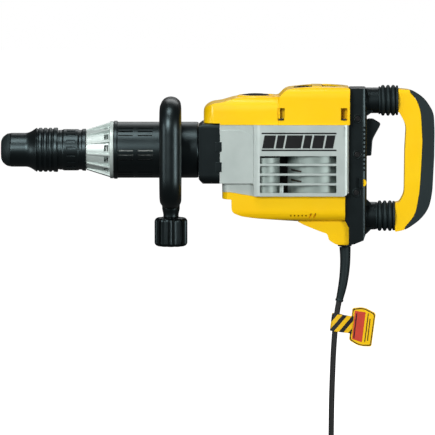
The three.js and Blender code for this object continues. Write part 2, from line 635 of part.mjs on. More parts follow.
const loop = taperedTube(loopPoints, loopRadii, 12, [1, 0, 0]).scale([1.13, 1, 1]);
const bandRadius = 52.6;
const bandSides = 28;
const saddles = common(box(-15, 15, -20, 14, -72, 68),
  cut(box(-15, 15, -20, 14, -72, 68), rodX(-20, 20, 0, 0, bandRadius + gap, bandSides)));
const upperSaddle = common(saddles, box(-20, 20, -30, 30, 0, 80));
const lowerSaddle = common(saddles, box(-20, 20, -30, 30, -80, 0));
const stem = rodZ(knobTop + gap, -90, 0, 0, 13.4, 16);
const boltHole = rodZ(-130, -52, 0, 0, 5.4, 12);
const lugSpace = box(-9, 9, -9, 9, -64, -50);
add('side_handle_loop', cut(join(loop, upperSaddle, lowerSaddle, stem), boltHole, lugSpace), 'black');
add('clamp_band', join(
  turnX([[-13, 49.6], [-13, bandRadius], [13, bandRadius], [13, 49.6]], bandSides),
  cut(box(-8, 8, -8, 8, -57, -51), rodX(-20, 20, 0, 0, 51, bandSides))), 'steel');
add('clamp_bolt', join(rodZ(-63.5, -57 - gap, 0, 0, 8, 6), rodZ(-150, -62, 0, 0, 5, 12)), 'steel');

const knobLobes = 10;
const knobOutline = around(knobLobes * 4, (i) => {
  const turn = (i + 0.5) / (knobLobes * 4) * 2 * Math.PI;
  const radius = i % 4 === 0 || i % 4 === 3 ? 25.4 : 27.5;
  return [radius * Math.cos(turn), radius * Math.sin(turn)];
});
const knobBevel = { bevelEnabled: true, bevelSize: 4, bevelThickness: 5, bevelOffset: -4, bevelSegments: 1 };
add('clamp_knob', cut(slabZ(knobOutline, knobBottom + 5, knobTop - 5, knobBevel),
  rodZ(-150 - gap, -100, 0, 0, 5.4, 12)), 'black');

// ---- cord ---------------------------------------------------------------

const reliefTop = -165.3;
add('strain_relief', join(
  taperedTube([[304, 0, reliefTop], [304, 0, -169], [304.6, 0, -170], [305, 0, -184], [304.8, 0, -200],
    [303.2, 0, -220], [299.8, 0, -242], [294.4, 0, -266]],
  [12.2, 12.2, 9.9, 9.3, 8.9, 8.3, 7.6, 6.9], 12, [0, 1, 0]),
  rodZ(-168, -156, 300, 0, 6.9, 12)), 'rubber');

const cordRoute = [
  [294.3, 0, -266.4], [292.6, 0, -275], [290, 0, -292], [287.8, 0, -312], [286, 0, -335], [284.5, 0, -360],
  [283.3, 0, -390], [282.3, 0, -420], [281.6, 0, -450], [281.2, 0, -480], [281, -0.5, -505],
  [281, -6, -527], [281, -19, -546], [281, -38, -557], [281, -62, -560],
];
const entryY = coilCentre[1] + Math.sqrt(coilOuter ** 2 - (67.5 - cordRadius) ** 2) + 0.5;
const cordShown = cordRoute.filter(([, y]) => y > entryY + 6).concat([[281, entryY, -560]]);
add('cord', sweep(cordShown, cordRadius, 26, 8), 'rubber');
add('cord_coil', ring(coilInner, coilOuter, floorZ, floorZ + coilHeight, ...coilCentre, 28), 'rubber');

const tailRoute = [
  [156.9, -90, -528.8], [150, -85, -528.6], [143, -78, -528.6], [136, -72, -529.8], [128, -68, -535],
  [119, -66.5, -542.5], [110, -66, -545.6], [101, -66, -546],
];
add('cord_tail', sweep(tailRoute, cordRadius, 8, 8), 'rubber');
const plugX = 100.7;
add('plug', join(
  turnX([[plugX - 62, 0], [plugX - 62, 17], [plugX - 56, 18.8], [plugX - 30, 18.8], [plugX - 18, 12],
    [plugX, 8.5], [plugX, 0]], 16),
  rodX(plugX - 81, plugX - 60, -9.5, 0, 2.4, 8), rodX(plugX - 81, plugX - 60, 9.5, 0, 2.4, 8),
).translate([0, -66, -546]), 'rubber');

const tagThickness = 1.2;
const tagOutline = [
  [-20, -26, 4], [0, -34, 18], [20.5, -31, 3], [20, 28, 4], [-3, 36, 18], [-22, 31, 3],
];
const tag = slabY(tagOutline, -tagThickness / 2, tagThickness / 2);
add('cord_tag', tag.rotate([0, 0, -8]).rotate([0, 8, 0]).translate([335, -9, -311]), 'tag');

export default hammer;
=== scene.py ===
import math

import bpy
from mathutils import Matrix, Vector


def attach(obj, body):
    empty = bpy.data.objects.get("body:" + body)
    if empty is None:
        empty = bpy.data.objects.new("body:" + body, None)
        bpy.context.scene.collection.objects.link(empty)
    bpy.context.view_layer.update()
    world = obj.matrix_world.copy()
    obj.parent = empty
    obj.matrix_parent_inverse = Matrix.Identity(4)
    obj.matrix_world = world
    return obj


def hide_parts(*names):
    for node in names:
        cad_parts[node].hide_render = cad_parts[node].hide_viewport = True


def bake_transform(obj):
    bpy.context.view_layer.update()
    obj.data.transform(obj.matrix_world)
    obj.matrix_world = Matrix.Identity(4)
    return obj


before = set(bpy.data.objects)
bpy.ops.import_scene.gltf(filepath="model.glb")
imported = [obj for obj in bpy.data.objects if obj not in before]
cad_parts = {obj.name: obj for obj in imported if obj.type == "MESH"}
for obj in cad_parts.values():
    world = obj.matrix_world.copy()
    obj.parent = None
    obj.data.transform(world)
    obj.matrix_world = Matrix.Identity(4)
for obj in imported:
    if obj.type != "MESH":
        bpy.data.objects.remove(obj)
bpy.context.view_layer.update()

mm = 0.001  # the settings below are in millimetres, the scene is in metres
print("frame loaded:", len(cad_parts), "nodes")


# camera and light

camera = {"lens": 400, "sensor": 36, "frameWidth": 761, "target": (81.4, 0, -118.8), "elevation": 4.8}


def addCamera():
    distance = camera["frameWidth"] * mm * camera["lens"] / camera["sensor"]
    tilt = math.radians(camera["elevation"])
    target = Vector(camera["target"]) * mm
    place = target + Vector((0, -math.cos(tilt), math.sin(tilt))) * distance
    bpy.ops.object.camera_add(location=place, rotation=(math.pi / 2 - tilt, 0, 0))
    view = bpy.context.object
    view.data.lens = camera["lens"]
    view.data.sensor_width = camera["sensor"]
    view.data.clip_end = 100
    bpy.context.scene.camera = view


# each lamp: place, what it points at, size across, watts
lamps = {
    "topSoftbox": {"at": (-0.3, -0.7, 1.7), "to": (0.05, 0, 0), "size": 0.8, "power": 15},
    "frontFill": {"at": (-0.9, -2.3, 0.9), "to": (0.05, 0, -0.05), "size": 0.9, "power": 45},
    "rightFill": {"at": (1.7, -1.6, 0.0), "to": (0.1, 0, -0.05), "size": 0.8, "power": 19},
    "backRim": {"at": (0.2, 1.5, 1.2), "to": (0.05, 0, 0), "size": 1.2, "power": 7},
    "leftStrip": {"at": (-1.6, -0.9, 0.1), "to": (0, 0, 0), "size": 0.6, "power": 5},
}
studio = {"background": 1.0, "reflected": 0.07, "floorZ": -0.5651, "floorSize": 30}


def addLights():
    for name, lamp in lamps.items():
        bpy.ops.object.light_add(type="AREA", location=lamp["at"])
        light = bpy.context.object
        light.name = name
        aim = Vector(lamp["to"]) - Vector(lamp["at"])
        light.rotation_euler = aim.to_track_quat("-Z", "Y").to_euler()
        light.data.size = lamp["size"]
        light.data.energy = lamp["power"]
    bpy.context.scene.view_settings.view_transform = "Standard"
    world = bpy.data.worlds.new("studioWorld")
    world.use_nodes = True
    bpy.context.scene.world = world
    tree = world.node_tree
    shader = tree.nodes["Background"]
    path = tree.nodes.new("ShaderNodeLightPath")
    strength = tree.nodes.new("ShaderNodeMapRange")
    strength.inputs["To Min"].default_value = studio["reflected"]
    strength.inputs["To Max"].default_value = studio["background"]
    tree.links.new(path.outputs["Is Camera Ray"], strength.inputs["Value"])
    tree.links.new(strength.outputs["Result"], shader.inputs["Strength"])
    shader.inputs["Color"].default_value = (1, 1, 1, 1)


# tools that every piece uses

def clearSelection():
    if bpy.context.object and bpy.context.object.mode != "OBJECT":
        bpy.ops.object.mode_set(mode="OBJECT")
    bpy.ops.object.select_all(action="DESELECT")


def takeUp(piece):
    clearSelection()
    piece.select_set(True)
    bpy.context.view_layer.objects.active = piece


def editAll(piece):
    takeUp(piece)
    bpy.ops.object.mode_set(mode="EDIT")
    bpy.ops.mesh.select_all(action="SELECT")


def mergeAndOrient(piece, distance=0.01):
    editAll(piece)
    bpy.ops.mesh.remove_doubles(threshold=distance * mm)
    bpy.ops.mesh.delete_loose(use_verts=True, use_edges=True, use_faces=False)
    bpy.ops.mesh.select_all(action="SELECT")
    bpy.ops.mesh.normals_make_consistent(inside=False)
    bpy.ops.object.mode_set(mode="OBJECT")


def roundCorners(corners, steps=6):
    points = []
    for i, corner in enumerate(corners):
        here = Vector(corner[:2])
        toLast = Vector(corners[i - 1][:2]) - here
        toNext = Vector(corners[(i + 1) % len(corners)][:2]) - here
        radius = corner[2] if len(corner) > 2 else 0
        reach = min(radius, 0.48 * toLast.length, 0.48 * toNext.length)
        if reach <= 0:
            points.append(here)
            continue
        start = here + toLast.normalized() * reach
        end = here + toNext.normalized() * reach
        for k in range(steps + 1):
            t = k / steps
            points.append(start * (1 - t) ** 2 + here * 2 * t * (1 - t) + end * t ** 2)
    return points


def spot(axis, a, b, along):
    return Vector({"x": (along, a, b), "y": (a, along, b), "z": (a, b, along)}[axis]) * mm


def drawOutline(name, places, fill):
    clearSelection()
    bpy.ops.mesh.primitive_circle_add(vertices=len(places), radius=1, fill_type=fill)
    piece = bpy.context.object
    piece.name = name
    for vertex, place in zip(piece.data.vertices, places):
        vertex.co = place
    return piece


def slab(name, corners, axis, low, high, steps=6):
    points = roundCorners(corners, steps)
    piece = drawOutline(name, [spot(axis, *point, low) for point in points], "NGON")
    editAll(piece)
    bpy.ops.mesh.extrude_region_move(TRANSFORM_OT_translate={"value": spot(axis, 0, 0, high - low)})
    bpy.ops.mesh.select_all(action="SELECT")
    bpy.ops.mesh.normals_make_consistent(inside=False)
    bpy.ops.object.mode_set(mode="OBJECT")
    return piece


def block(name, low, high):
    corners = [(low[0], low[1]), (high[0], low[1]), (high[0], high[1]), (low[0], high[1])]
    return slab(name, corners, "z", low[2], high[2])


def turned(name, profile, axis="x", centre=(0, 0), sides=96, steps=4):
    points = roundCorners(profile, steps)
    a, b = centre
    if axis == "z":
        places = [Vector((a + radius, b, along)) * mm for along, radius in points]
    elif axis == "y":
        places = [Vector((a, along, b + radius)) * mm for along, radius in points]
    else:
        places = [Vector((along, a, b + radius)) * mm for along, radius in points]
    piece = drawOutline(name, places, "NOTHING")
    editAll(piece)
    bpy.ops.mesh.spin(
        steps=sides, angle=2 * math.pi, center=spot(axis, a, b, 0), axis=spot(axis, 0, 0, 1000))
    bpy.ops.object.mode_set(mode="OBJECT")
    mergeAndOrient(piece)
    return piece


def rod(name, axis, low, high, centre, radius, sides=32, edge=0.6):
    profile = [(low, 0), (low, radius, edge), (high, radius, edge), (high, 0)]
    return turned(name, profile, axis, centre, sides, 2)


def joined(name, pieces):
    clearSelection()
    for piece in pieces:
        piece.select_set(True)
    bpy.context.view_layer.objects.active = pieces[0]
    if len(pieces) > 1:
        bpy.ops.object.join()
    pieces[0].name = name
    return pieces[0]


def combine(piece, other, operation):
    takeUp(piece)
    bpy.ops.object.modifier_add(type="BOOLEAN")
    modifier = piece.modifiers[-1]
    modifier.operation = operation
    modifier.solver = "EXACT"
    modifier.object = other
    bpy.ops.object.modifier_apply(modifier=modifier.name)
    bpy.data.objects.remove(other)
    return piece


def common(piece, *others):
    for other in others:
        combine(piece, other, "INTERSECT")
    return piece


def cutAway(piece, cutters):
    return combine(piece, joined("cutters", cutters), "DIFFERENCE")


def roundEdges(piece, width, segments=3, angle=32):
    editAll(piece)
    bpy.ops.mesh.remove_doubles(threshold=0.01 * mm)
    bpy.ops.mesh.dissolve_limited(angle_limit=math.radians(1))
    bpy.ops.object.mode_set(mode="OBJECT")
    bpy.ops.object.modifier_add(type="BEVEL")
    modifier = piece.modifiers[-1]
    modifier.width = width * mm
    modifier.segments = segments
    modifier.limit_method = "ANGLE"
    modifier.angle_limit = math.radians(angle)
    modifier.use_clamp_overlap = True
    modifier.miter_outer = "MITER_ARC"
    bpy.ops.object.modifier_apply(modifier=modifier.name)
    return piece


def turnInPlace(piece, degrees, axis="X", centre=(0, 0, 0)):
    editAll(piece)
    bpy.ops.transform.rotate(
        value=-math.radians(degrees), orient_axis=axis, center_override=Vector(centre) * mm)
    bpy.ops.object.mode_set(mode="OBJECT")
    return piece


def shift(piece, offset):
    editAll(piece)
    bpy.ops.transform.translate(value=Vector(offset) * mm)
    bpy.ops.object.mode_set(mode="OBJECT")
    return piece


def smooth(piece, material, angle):
    takeUp(piece)
    bpy.ops.object.shade_smooth_by_angle(angle=math.radians(angle))
    piece.data.materials.clear()
    piece.data.materials.append(material)


def copyOf(name, node):
    piece = bpy.data.objects.new(name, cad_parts[node].data.copy())
    bpy.context.scene.collection.objects.link(piece)
    piece.data.materials.clear()
    takeUp(piece)
    bpy.ops.mesh.customdata_custom_splitnormals_clear()
    mergeAndOrient(piece)
    return piece


def fit(piece, material, body, slot, *nodes, angle=38):
    takeUp(piece)
    bpy.ops.object.transform_apply(location=True, rotation=True, scale=True)
    bpy.ops.object.shade_smooth_by_angle(angle=math.radians(angle))
    bpy.ops.object.modifier_add(type="WEIGHTED_NORMAL")
    piece.modifiers[-1].keep_sharp = True
    bpy.ops.object.modifier_apply(modifier=piece.modifiers[-1].name)
    piece.data.materials.clear()
    piece.data.materials.append(material)
    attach(piece, body)
    if nodes:
        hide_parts(*nodes)
    return piece


def linear(colour):
    parts = [int(colour[i:i + 2], 16) / 255 for i in (1, 3, 5)]
    return [c / 12.92 if c <= 0.04045 else ((c + 0.055) / 1.055) ** 2.4 for c in parts] + [1]


def addNode(tree, kind, values=(), links=(), **settings):
    node = tree.nodes.new(kind)
    for key, value in settings.items():
        setattr(node, key, value)
    for key, value in dict(values).items():
        node.inputs[key].default_value = value
    for key, source in dict(links).items():
        tree.links.new(source, node.inputs[key])
    return node


def newMaterial(name, **values):
    material = bpy.data.materials.new(name)
    material.use_nodes = True
    shader = material.node_tree.nodes["Principled BSDF"]
    for key, value in values.items():
        shader.inputs[key.replace("_", " ")].default_value = value
    return material, material.node_tree, shader


def mottled(tree, shader, light, dark, spread, scale=14, detail=3):
    where = addNode(tree, "ShaderNodeTexCoord").outputs["Object"]
    noise = addNode(tree, "ShaderNodeTexNoise", {"Scale": scale, "Detail": detail}, {"Vector": where})
    ramp = addNode(tree, "ShaderNodeValToRGB", links={"Fac": noise.outputs["Fac"]})
    ramp.color_ramp.elements[0].position = 0.5 - spread
    ramp.color_ramp.elements[1].position = 0.5 + spread
    ramp.color_ramp.elements[0].color = linear(dark)
    ramp.color_ramp.elements[1].color = linear(light)
    tree.links.new(ramp.outputs["Color"], shader.inputs["Base Color"])
    return where


def grained(tree, shader, where, size, depth, rough, detail=2):
    # size is the grain in millimetres, depth the relief, rough the low and high roughness
    noise = addNode(
        tree, "ShaderNodeTexNoise", {"Scale": 1 / (size * mm), "Detail": detail}, {"Vector": where})
    bump = addNode(
        tree, "ShaderNodeBump", {"Strength": 0.5, "Distance": depth * mm}, {"Height": noise.outputs["Fac"]})
    tree.links.new(bump.outputs["Normal"], shader.inputs["Normal"])
    cloud = addNode(tree, "ShaderNodeTexNoise", {"Scale": 40, "Detail": 4}, {"Vector": where})
    spread = addNode(
        tree, "ShaderNodeMapRange", {"To Min": rough[0], "To Max": rough[1]}, {"Value": cloud.outputs["Fac"]})
    tree.links.new(spread.outputs["Result"], shader.inputs["Roughness"])


def yellowNylon():
    # glass-filled nylon moulded in an etched tool: even satin yellow, slightly cloudy, soft highlights
    material, tree, shader = newMaterial("mouldedYellowNylon", IOR=1.53)
    where = mottled(tree, shader, "#FFD100", "#FDC900", 0.25)
    grained(tree, shader, where, 0.9, 0.02, (0.28, 0.38))
    return material


def blackNylon():
    # the same nylon in black: charcoal with cool sheen on its edges
    material, tree, shader = newMaterial("mouldedBlackNylon", IOR=1.53)
    shader.inputs["Specular Tint"].default_value = (0.7, 0.95, 1, 1)
    where = mottled(tree, shader, "#080B0C", "#050708", 0.25)
    grained(tree, shader, where, 0.8, 0.012, (0.29, 0.39))
    return material


def softRubber():
    # over-moulded elastomer: matt, darker and softer than the nylon
    material, tree, shader = newMaterial("overmouldedElastomer", IOR=1.5)
    shader.inputs["Specular Tint"].default_value = (0.7, 0.95, 1, 1)
    where = mottled(tree, shader, "#12191A", "#0D1213", 0.3)
    grained(tree, shader, where, 0.6, 0.06, (0.5, 0.68), 3)
    return material


def paintedCasting():
    # die-cast magnesium under silver paint: fine metallic flake over a slightly uneven skin
    material, tree, shader = newMaterial("paintedMagnesium", Metallic=0.3)
    where = mottled(tree, shader, "#C6D2CE", "#B7C4C0", 0.3, 30)
    grained(tree, shader, where, 0.5, 0.04, (0.34, 0.46), 4)
    return material


def bareCasting():
    # uncoated die casting: brighter, cooler metal with sand-like grain
    material, tree, shader = newMaterial("blastedAluminium", Metallic=0.85)
    where = mottled(tree, shader, "#CBD2CF", "#A9B1AE", 0.3, 30)
    grained(tree, shader, where, 0.7, 0.08, (0.3, 0.45), 4)
    return material


def rolledSheet():
    # rolled sheet behind the louvres: satin metal with darker clouds
    material, tree, shader = newMaterial("rolledSheetSteel", Metallic=0.5)
    where = mottled(tree, shader, "#B4C2BD", "#7C8B87", 0.35, 9)
    grained(tree, shader, where, 1.5, 0.03, (0.42, 0.55))
    return material


def groundSteel():
    # turned and ground steel with fine tool marks
    material, tree, shader = newMaterial("groundSteel", Metallic=1)
    where = mottled(tree, shader, "#A6A9AB", "#8C9093", 0.3, 60)
    grained(tree, shader, where, 0.4, 0.03, (0.22, 0.36), 4)
    return material


def motorIron():
    # stacked electrical steel under dark varnish, with its laminations drawn thicker so that they show
    material, tree, shader = newMaterial("varnishedLaminations", Metallic=0.7)
    where = mottled(tree, shader, "#5B5650", "#3F3C38", 0.3, 50)
    bands = addNode(
        tree, "ShaderNodeTexWave", {"Scale": 80}, {"Vector": where}, bands_direction="Z")
    bump = addNode(
        tree, "ShaderNodeBump", {"Strength": 0.6, "Distance": 0.0003}, {"Height": bands.outputs["Fac"]})
    tree.links.new(bump.outputs["Normal"], shader.inputs["Normal"])
    shader.inputs["Roughness"].default_value = 0.45
    return material


def copperMetal():
    # drawn copper with a brown tarnish
    material, tree, shader = newMaterial("tarnishedCopper", Metallic=1)
    where = mottled(tree, shader, "#C98A5C", "#8E5A38", 0.3, 90)
    grained(tree, shader, where, 0.5, 0.03, (0.25, 0.45))
    return material


def cableRubber():
    # extruded rubber sheath: dull black with a dusty bloom
    material, tree, shader = newMaterial("extrudedRubberSheath", IOR=1.5)
    where = mottled(tree, shader, "#131617", "#0D0F10", 0.3, 60)
    grained(tree, shader, where, 0.7, 0.05, (0.45, 0.62), 3)
    return material


def recessBlack():
    # unlit dark plastic at the bottom of openings
    material, tree, shader = newMaterial("shadowedPlastic", IOR=1.5)
    shader.inputs["Specular IOR Level"].default_value = 0.15
    where = mottled(tree, shader, "#12110C", "#0B0B09", 0.3, 60)
    grained(tree, shader, where, 1, 0.05, (0.6, 0.8))
    return material


def blackPrint():
    # printed and oiled black: badge bars, tag lines and blackened screw heads
    material, tree, shader = newMaterial("printedBlackInk", IOR=1.5)
    where = mottled(tree, shader, "#121517", "#0D1011", 0.3, 60)
    grained(tree, shader, where, 0.8, 0.02, (0.3, 0.4))
    return material


def redPrint():
    # a plain printed red field on the tag
    material, tree, shader = newMaterial("printedRedInk", IOR=1.5)
    where = mottled(tree, shader, "#D8442C", "#C23A26", 0.3, 60)
    grained(tree, shader, where, 0.8, 0.02, (0.4, 0.5))
    return material


def stripedStrap():
    # plastic strap printed in diagonal black and yellow stripes, each 7 mm wide
    material, tree, shader = newMaterial("stripedPlasticStrap", IOR=1.5)
    where = addNode(tree, "ShaderNodeTexCoord").outputs["Object"]
    stripes = addNode(
        tree, "ShaderNodeMapping", {"Rotation": (0, math.radians(-40), 0)}, {"Vector": where})
    wave = addNode(
        tree, "ShaderNodeTexWave", {"Scale": 1 / 0.0445}, {"Vector": stripes.outputs["Vector"]},
        bands_direction="X")
    ramp = addNode(tree, "ShaderNodeValToRGB", links={"Fac": wave.outputs["Fac"]})
    ramp.color_ramp.interpolation = "CONSTANT"
    ramp.color_ramp.elements[1].position = 0.5
    ramp.color_ramp.elements[0].color = linear("#16181A")
    ramp.color_ramp.elements[1].color = linear("#F6C400")
    tree.links.new(ramp.outputs["Color"], shader.inputs["Base Color"])
    grained(tree, shader, where, 0.8, 0.03, (0.35, 0.5))
    return material


yellow = yellowNylon()
black = blackNylon()
rubber = softRubber()
silver = paintedCasting()
casting = bareCasting()
guideMetal = rolledSheet()
steel = groundSteel()
iron = motorIron()
copper = copperMetal()
sheath = cableRubber()
dark = recessBlack()
ink = blackPrint()
red = redPrint()
striped = stripedStrap()
addCamera()
addLights()
print("camera, lights and materials made")


# the cord

cordSettings = {
    "radius": 5, "length": 3.2, "step": 4,
    "route": [
        (294.3, 0, -266.4), (292.6, 0, -275), (290, 0, -292), (287.8, 0, -312), (286, 0, -335),
        (284.5, 0, -360), (283.3, 0, -390), (282.3, 0, -420), (281.6, 0, -450), (281.2, 0, -480),
        (281, -0.5, -505), (281, -6, -527), (281, -19, -546), (281, -38, -557), (281, -62, -560)],
    "centre": (213.5, -90), "bottom": -560, "wide": 67.5, "pitch": 10, "turns": 7 + 150 / 360, "perTurn": 24,
    # where a turn crosses over: the turn it starts at, then its steps outwards and upwards
    "crossings": [
        (0.78, -1, 0), (1.78, -1, 0), (2.58, 0, 1), (3.39, 1, 0), (4.39, 1, 0), (5.19, 0, 1), (6, -1, 0),
        (7, -1, 0)],
    "tail": [
        (156.9, -90, -528.8), (150, -85, -528.6), (143, -78, -528.6), (136, -72, -529.8), (128, -68, -535),
        (119, -66.5, -542.5), (110, -66, -545.6), (101, -66, -546)],
}


def coilPoint(turn):
    # wound inwards, outwards and inwards again in three layers; each crossing has its own part of the turn
    pitch = cordSettings["pitch"]
    radius, height = cordSettings["wide"], cordSettings["bottom"]
    for start, outward, upward in cordSettings["crossings"]:
        share = min(max((turn - start) / 0.19, 0), 1)
        share = share * share * (3 - 2 * share)
        radius += outward * pitch * share
        height += upward * pitch * share
    angle = -2 * math.pi * turn
    x, y = cordSettings["centre"]
    return Vector((x + radius * math.cos(angle), y + radius * math.sin(angle), height))


def smoothLine(points, step):
    line = []
    for i in range(len(points) - 1):
        before = points[max(i - 1, 0)]
        here, after = points[i], points[i + 1]
        beyond = points[min(i + 2, len(points) - 1)]
        count = max(1, round((after - here).length / step))
        for k in range(count):
            t = k / count
            line.append(0.5 * (
                2 * here + (after - before) * t + (2 * before - 5 * here + 4 * after - beyond) * t ** 2
                + (3 * here - before - 3 * after + beyond) * t ** 3))
    return line + [points[-1]]


def makeCord():
    perTurn = cordSettings["perTurn"]
    coil = [coilPoint(k / perTurn) for k in range(int(cordSettings["turns"] * perTurn) + 1)]
    route = [Vector(point) for point in cordSettings["route"]] + coil
    route += [Vector(point) for point in cordSettings["tail"]]
    line = smoothLine(route, cordSettings["step"])
    curve = bpy.data.curves.new("mainsCord", "CURVE")
    curve.dimensions = "3D"
    curve.bevel_depth = cordSettings["radius"] * mm
    curve.bevel_resolution = 5
    curve.use_fill_caps = True
    spline = curve.splines.new("POLY")
    spline.points.add(len(line) - 1)
    for point, place in zip(spline.points, line):
        point.co = (*(place * mm), 1)
    spline.use_smooth = True
    cord = bpy.data.objects.new("mainsCord", curve)
    bpy.context.scene.collection.objects.link(cord)
    curve.materials.append(sheath)
    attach(cord, "root")
    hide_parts("cord", "cord_coil", "cord_tail")
    length = sum((b - a).length for a, b in zip(line, line[1:])) * mm
    print("cord made,", round(length, 3), "m long")
    return cord


plugSettings = {"centre": (-66, -546), "rear": 100.7, "front": 38.7, "radius": 18.8, "prongs": (-9.5, 9.5)}


def makePlug():
    y, z = plugSettings["centre"]
    rear, front, wide = plugSettings["rear"], plugSettings["front"], plugSettings["radius"]
    body = turned("plugBody", [
        (front, 0), (front, wide - 1.4, 1.5), (front + 6, wide, 3), (front + 28, wide, 3), (front + 31, 16.4),
        (front + 33, 16.4), (front + 35, 16, 1), (rear - 18, 12, 6), (rear - 12, 11.2), (rear - 11, 9.4),
        (rear - 9, 9.4), (rear - 8, 10.6), (rear - 6, 10.2), (rear - 5, 8.8), (rear - 3, 8.6),
        (rear - 2, 9.2, 0.6), (rear, 8.5, 0.8), (rear, 0)], "x", (y, z), 64)
    ribs = []
    for k in range(4):
        start = front + 8 + 4 * k
        ribs.append(block("rib", (start, y - wide - 0.6, z - 9), (start + 2, y + wide + 0.6, z + 9)))
    grip = joined("gripRibs", ribs)
    roundEdges(grip, 0.6, 2)
    body = joined("mainsPlug", [body, grip])
    fit(body, sheath, "root", "cord_rubber", "plug")
    prongs = joined("plugProngs", [
        rod("prong", "x", front - 19, front + 2, (y + side, z), 2.4, 24, 1.6)
        for side in plugSettings["prongs"]])
    fit(prongs, steel, "root", "steel")
    return body, prongs


coilTie = {"angle": 250, "reach": (39.5, 75.8), "height": (-565, -532.3), "width": 9, "thickness": 1.4}


def makeCoilTie():
    # a hook-and-loop strap wrapped once round all the turns
    inner, outer = coilTie["reach"]
    low, high = coilTie["height"]
    ringCorners = [(inner, low, 4), (outer, low, 4), (outer, high, 6), (inner, high, 6)]
    tie = slab("coilTie", ringCorners, "y", -coilTie["width"] / 2, coilTie["width"] / 2)
    thick = coilTie["thickness"]
    hole = [(inner + thick, low + 0.2, 4), (outer - thick, low + 0.2, 4), (outer - thick, high - thick, 5),
            (inner + thick, high - thick, 5)]
    cutAway(tie, [slab("hole", hole, "y", -20, 20)])
    roundEdges(tie, 0.3, 2)
    turnInPlace(tie, coilTie["angle"], "Z")
    shift(tie, (*cordSettings["centre"], 0))
    return fit(tie, black, "root", "black_plastic")


strainRelief = {
    "points": [(304, 0, -165.3), (304, 0, -169), (304.6, 0, -170.5), (305, 0, -184), (304.8, 0, -200),
               (303.2, 0, -220), (299.8, 0, -242), (294.4, 0, -266)],
    "radii": [12.2, 12.2, 9.9, 9.3, 8.9, 8.3, 7.6, 6.1], "stops": [0, 13, 29, 50, 72], "lip": 0.8,
    "lipLength": 3.5}


def tube(name, points, radii, sides=32):
    curve = bpy.data.curves.new(name, "CURVE")
    curve.dimensions = "3D"
    curve.bevel_depth = mm
    curve.bevel_resolution = sides // 4
    curve.use_fill_caps = True
    spline = curve.splines.new("POLY")
    spline.points.add(len(points) - 1)
    for point, place, radius in zip(spline.points, points, radii):
        point.co = (*(Vector(place) * mm), 1)
        point.radius = radius
    made = bpy.data.objects.new(name, curve)
    bpy.context.scene.collection.objects.link(made)
    takeUp(made)
    bpy.ops.object.convert(target="MESH")
    piece = bpy.context.object
    mergeAndOrient(piece)
    return piece


def makeStrainRelief():
    points = [Vector(point) for point in strainRelief["points"]]
    radii = strainRelief["radii"]
    collar = tube("reliefCollar", points[:2], radii[:2])
    roundEdges(collar, 0.8, 3)
    line = smoothLine(points[2:], 1.2)
    lengths = [(line[0] - point).length for point in line]
    reach = lengths[-1]
    stops = strainRelief["stops"] + [reach]
    swell = []
    for length in lengths:
        i = max(k for k in range(len(stops) - 1) if stops[k] <= length + 1e-6 or k == 0)
        share = (length - stops[i]) / (stops[i + 1] - stops[i])
        radius = radii[2 + i] * (1 - share) + radii[3 + i] * share
        lip = strainRelief["lip"] if reach - length < strainRelief["lipLength"] else 0
        swell.append(radius + lip)
    boot = tube("reliefBoot", line, swell)
    relief = joined("strainBoot", [collar, boot])
    return fit(relief, rubber, "root", "soft_rubber", "strain_relief")


tagSettings = {
    "centre": (335, -9, -311),
    "corners": [(-20, -26, 4), (0, -34, 18), (20.5, -31, 3), (20, 28, 4), (-3, 36, 18), (-22, 31, 3)],
    "thickness": 1.2, "turns": (8, 8)}


def layOnTag(piece):
    first, second = tagSettings["turns"]
    turnInPlace(piece, -first, "Z")
    turnInPlace(piece, second, "Y")
    shift(piece, tagSettings["centre"])


def makeTag():
    half = tagSettings["thickness"] / 2
    corners = tagSettings["corners"]
    plate = slab("tagPlate", corners, "y", -half, half)
    roundEdges(plate, 0.3, 2)
    front, back = -half - 0.15, -half + 0.3
    border = slab("tagBorder", [(x * 0.95, z * 0.96, r) for x, z, r in corners], "y", front, back)
    window = slab("window", [(x * 0.87, z * 0.91, r) for x, z, r in corners], "y", -half - 2, half)
    cutAway(border, [window])
    field = slab("tagField", [(-15, -23, 1), (3, -26, 1), (2, 27, 1), (-17, 27, 1)], "y", front - 0.05, back)
    line = [(-13, -21, 0.6), (-11, -21.4, 0.6), (-12, 23, 0.6), (-14, 23, 0.6)]
    panel = slab("panel", line, "y", front - 0.1, back)
    bars = []
    for x, low, high in ((7, -25, 26), (11.5, -22, 17)):
        corners = [(x, low, 0.5), (x + 1.6, low, 0.5), (x + 0.8, high, 0.5), (x - 0.8, high, 0.5)]
        bars.append(slab("bar", corners, "y", front, back))
    border = joined("tagBorder", [border, *bars, panel])
    for piece in (plate, border, field):
        layOnTag(piece)
    fit(plate, yellow, "root", "tag_card", "cord_tag")
    fit(border, ink, "root", "tag_card")
    fit(field, red, "root", "tag_card")
    return [plate, border, field]


def makeTagStrap():
    # folded round the cord and stapled to the back of the tag
    loopCorners = [
        (280.2, -7.6, 7), (299, -10.4, 4), (318, -9.4), (318, -7.6), (301, -7.2, 6), (297, 7.6, 7),
        (280.2, 7.6, 7)]
    strap = slab("tagStrap", loopCorners, "z", -318.5, -288, 8)
    hole = [(281.4, -6.6, 6), (296.4, -8, 6), (296, 6.4, 6), (281.4, 6.4, 6)]
    cutAway(strap, [slab("hollow", hole, "z", -330, -280, 8)])
    roundEdges(strap, 0.3, 2)
    turnInPlace(strap, 7, "Y", (289, 0, -303))
    return fit(strap, striped, "root", "tag_card")


cord = makeCord()
plug = makePlug()
coilStrap = makeCoilTie()
tagPieces = makeTag()
tagStrap = makeTagStrap()
relief = makeStrainRelief()
print("plug, tie, tag and strain relief made")


# tool holder

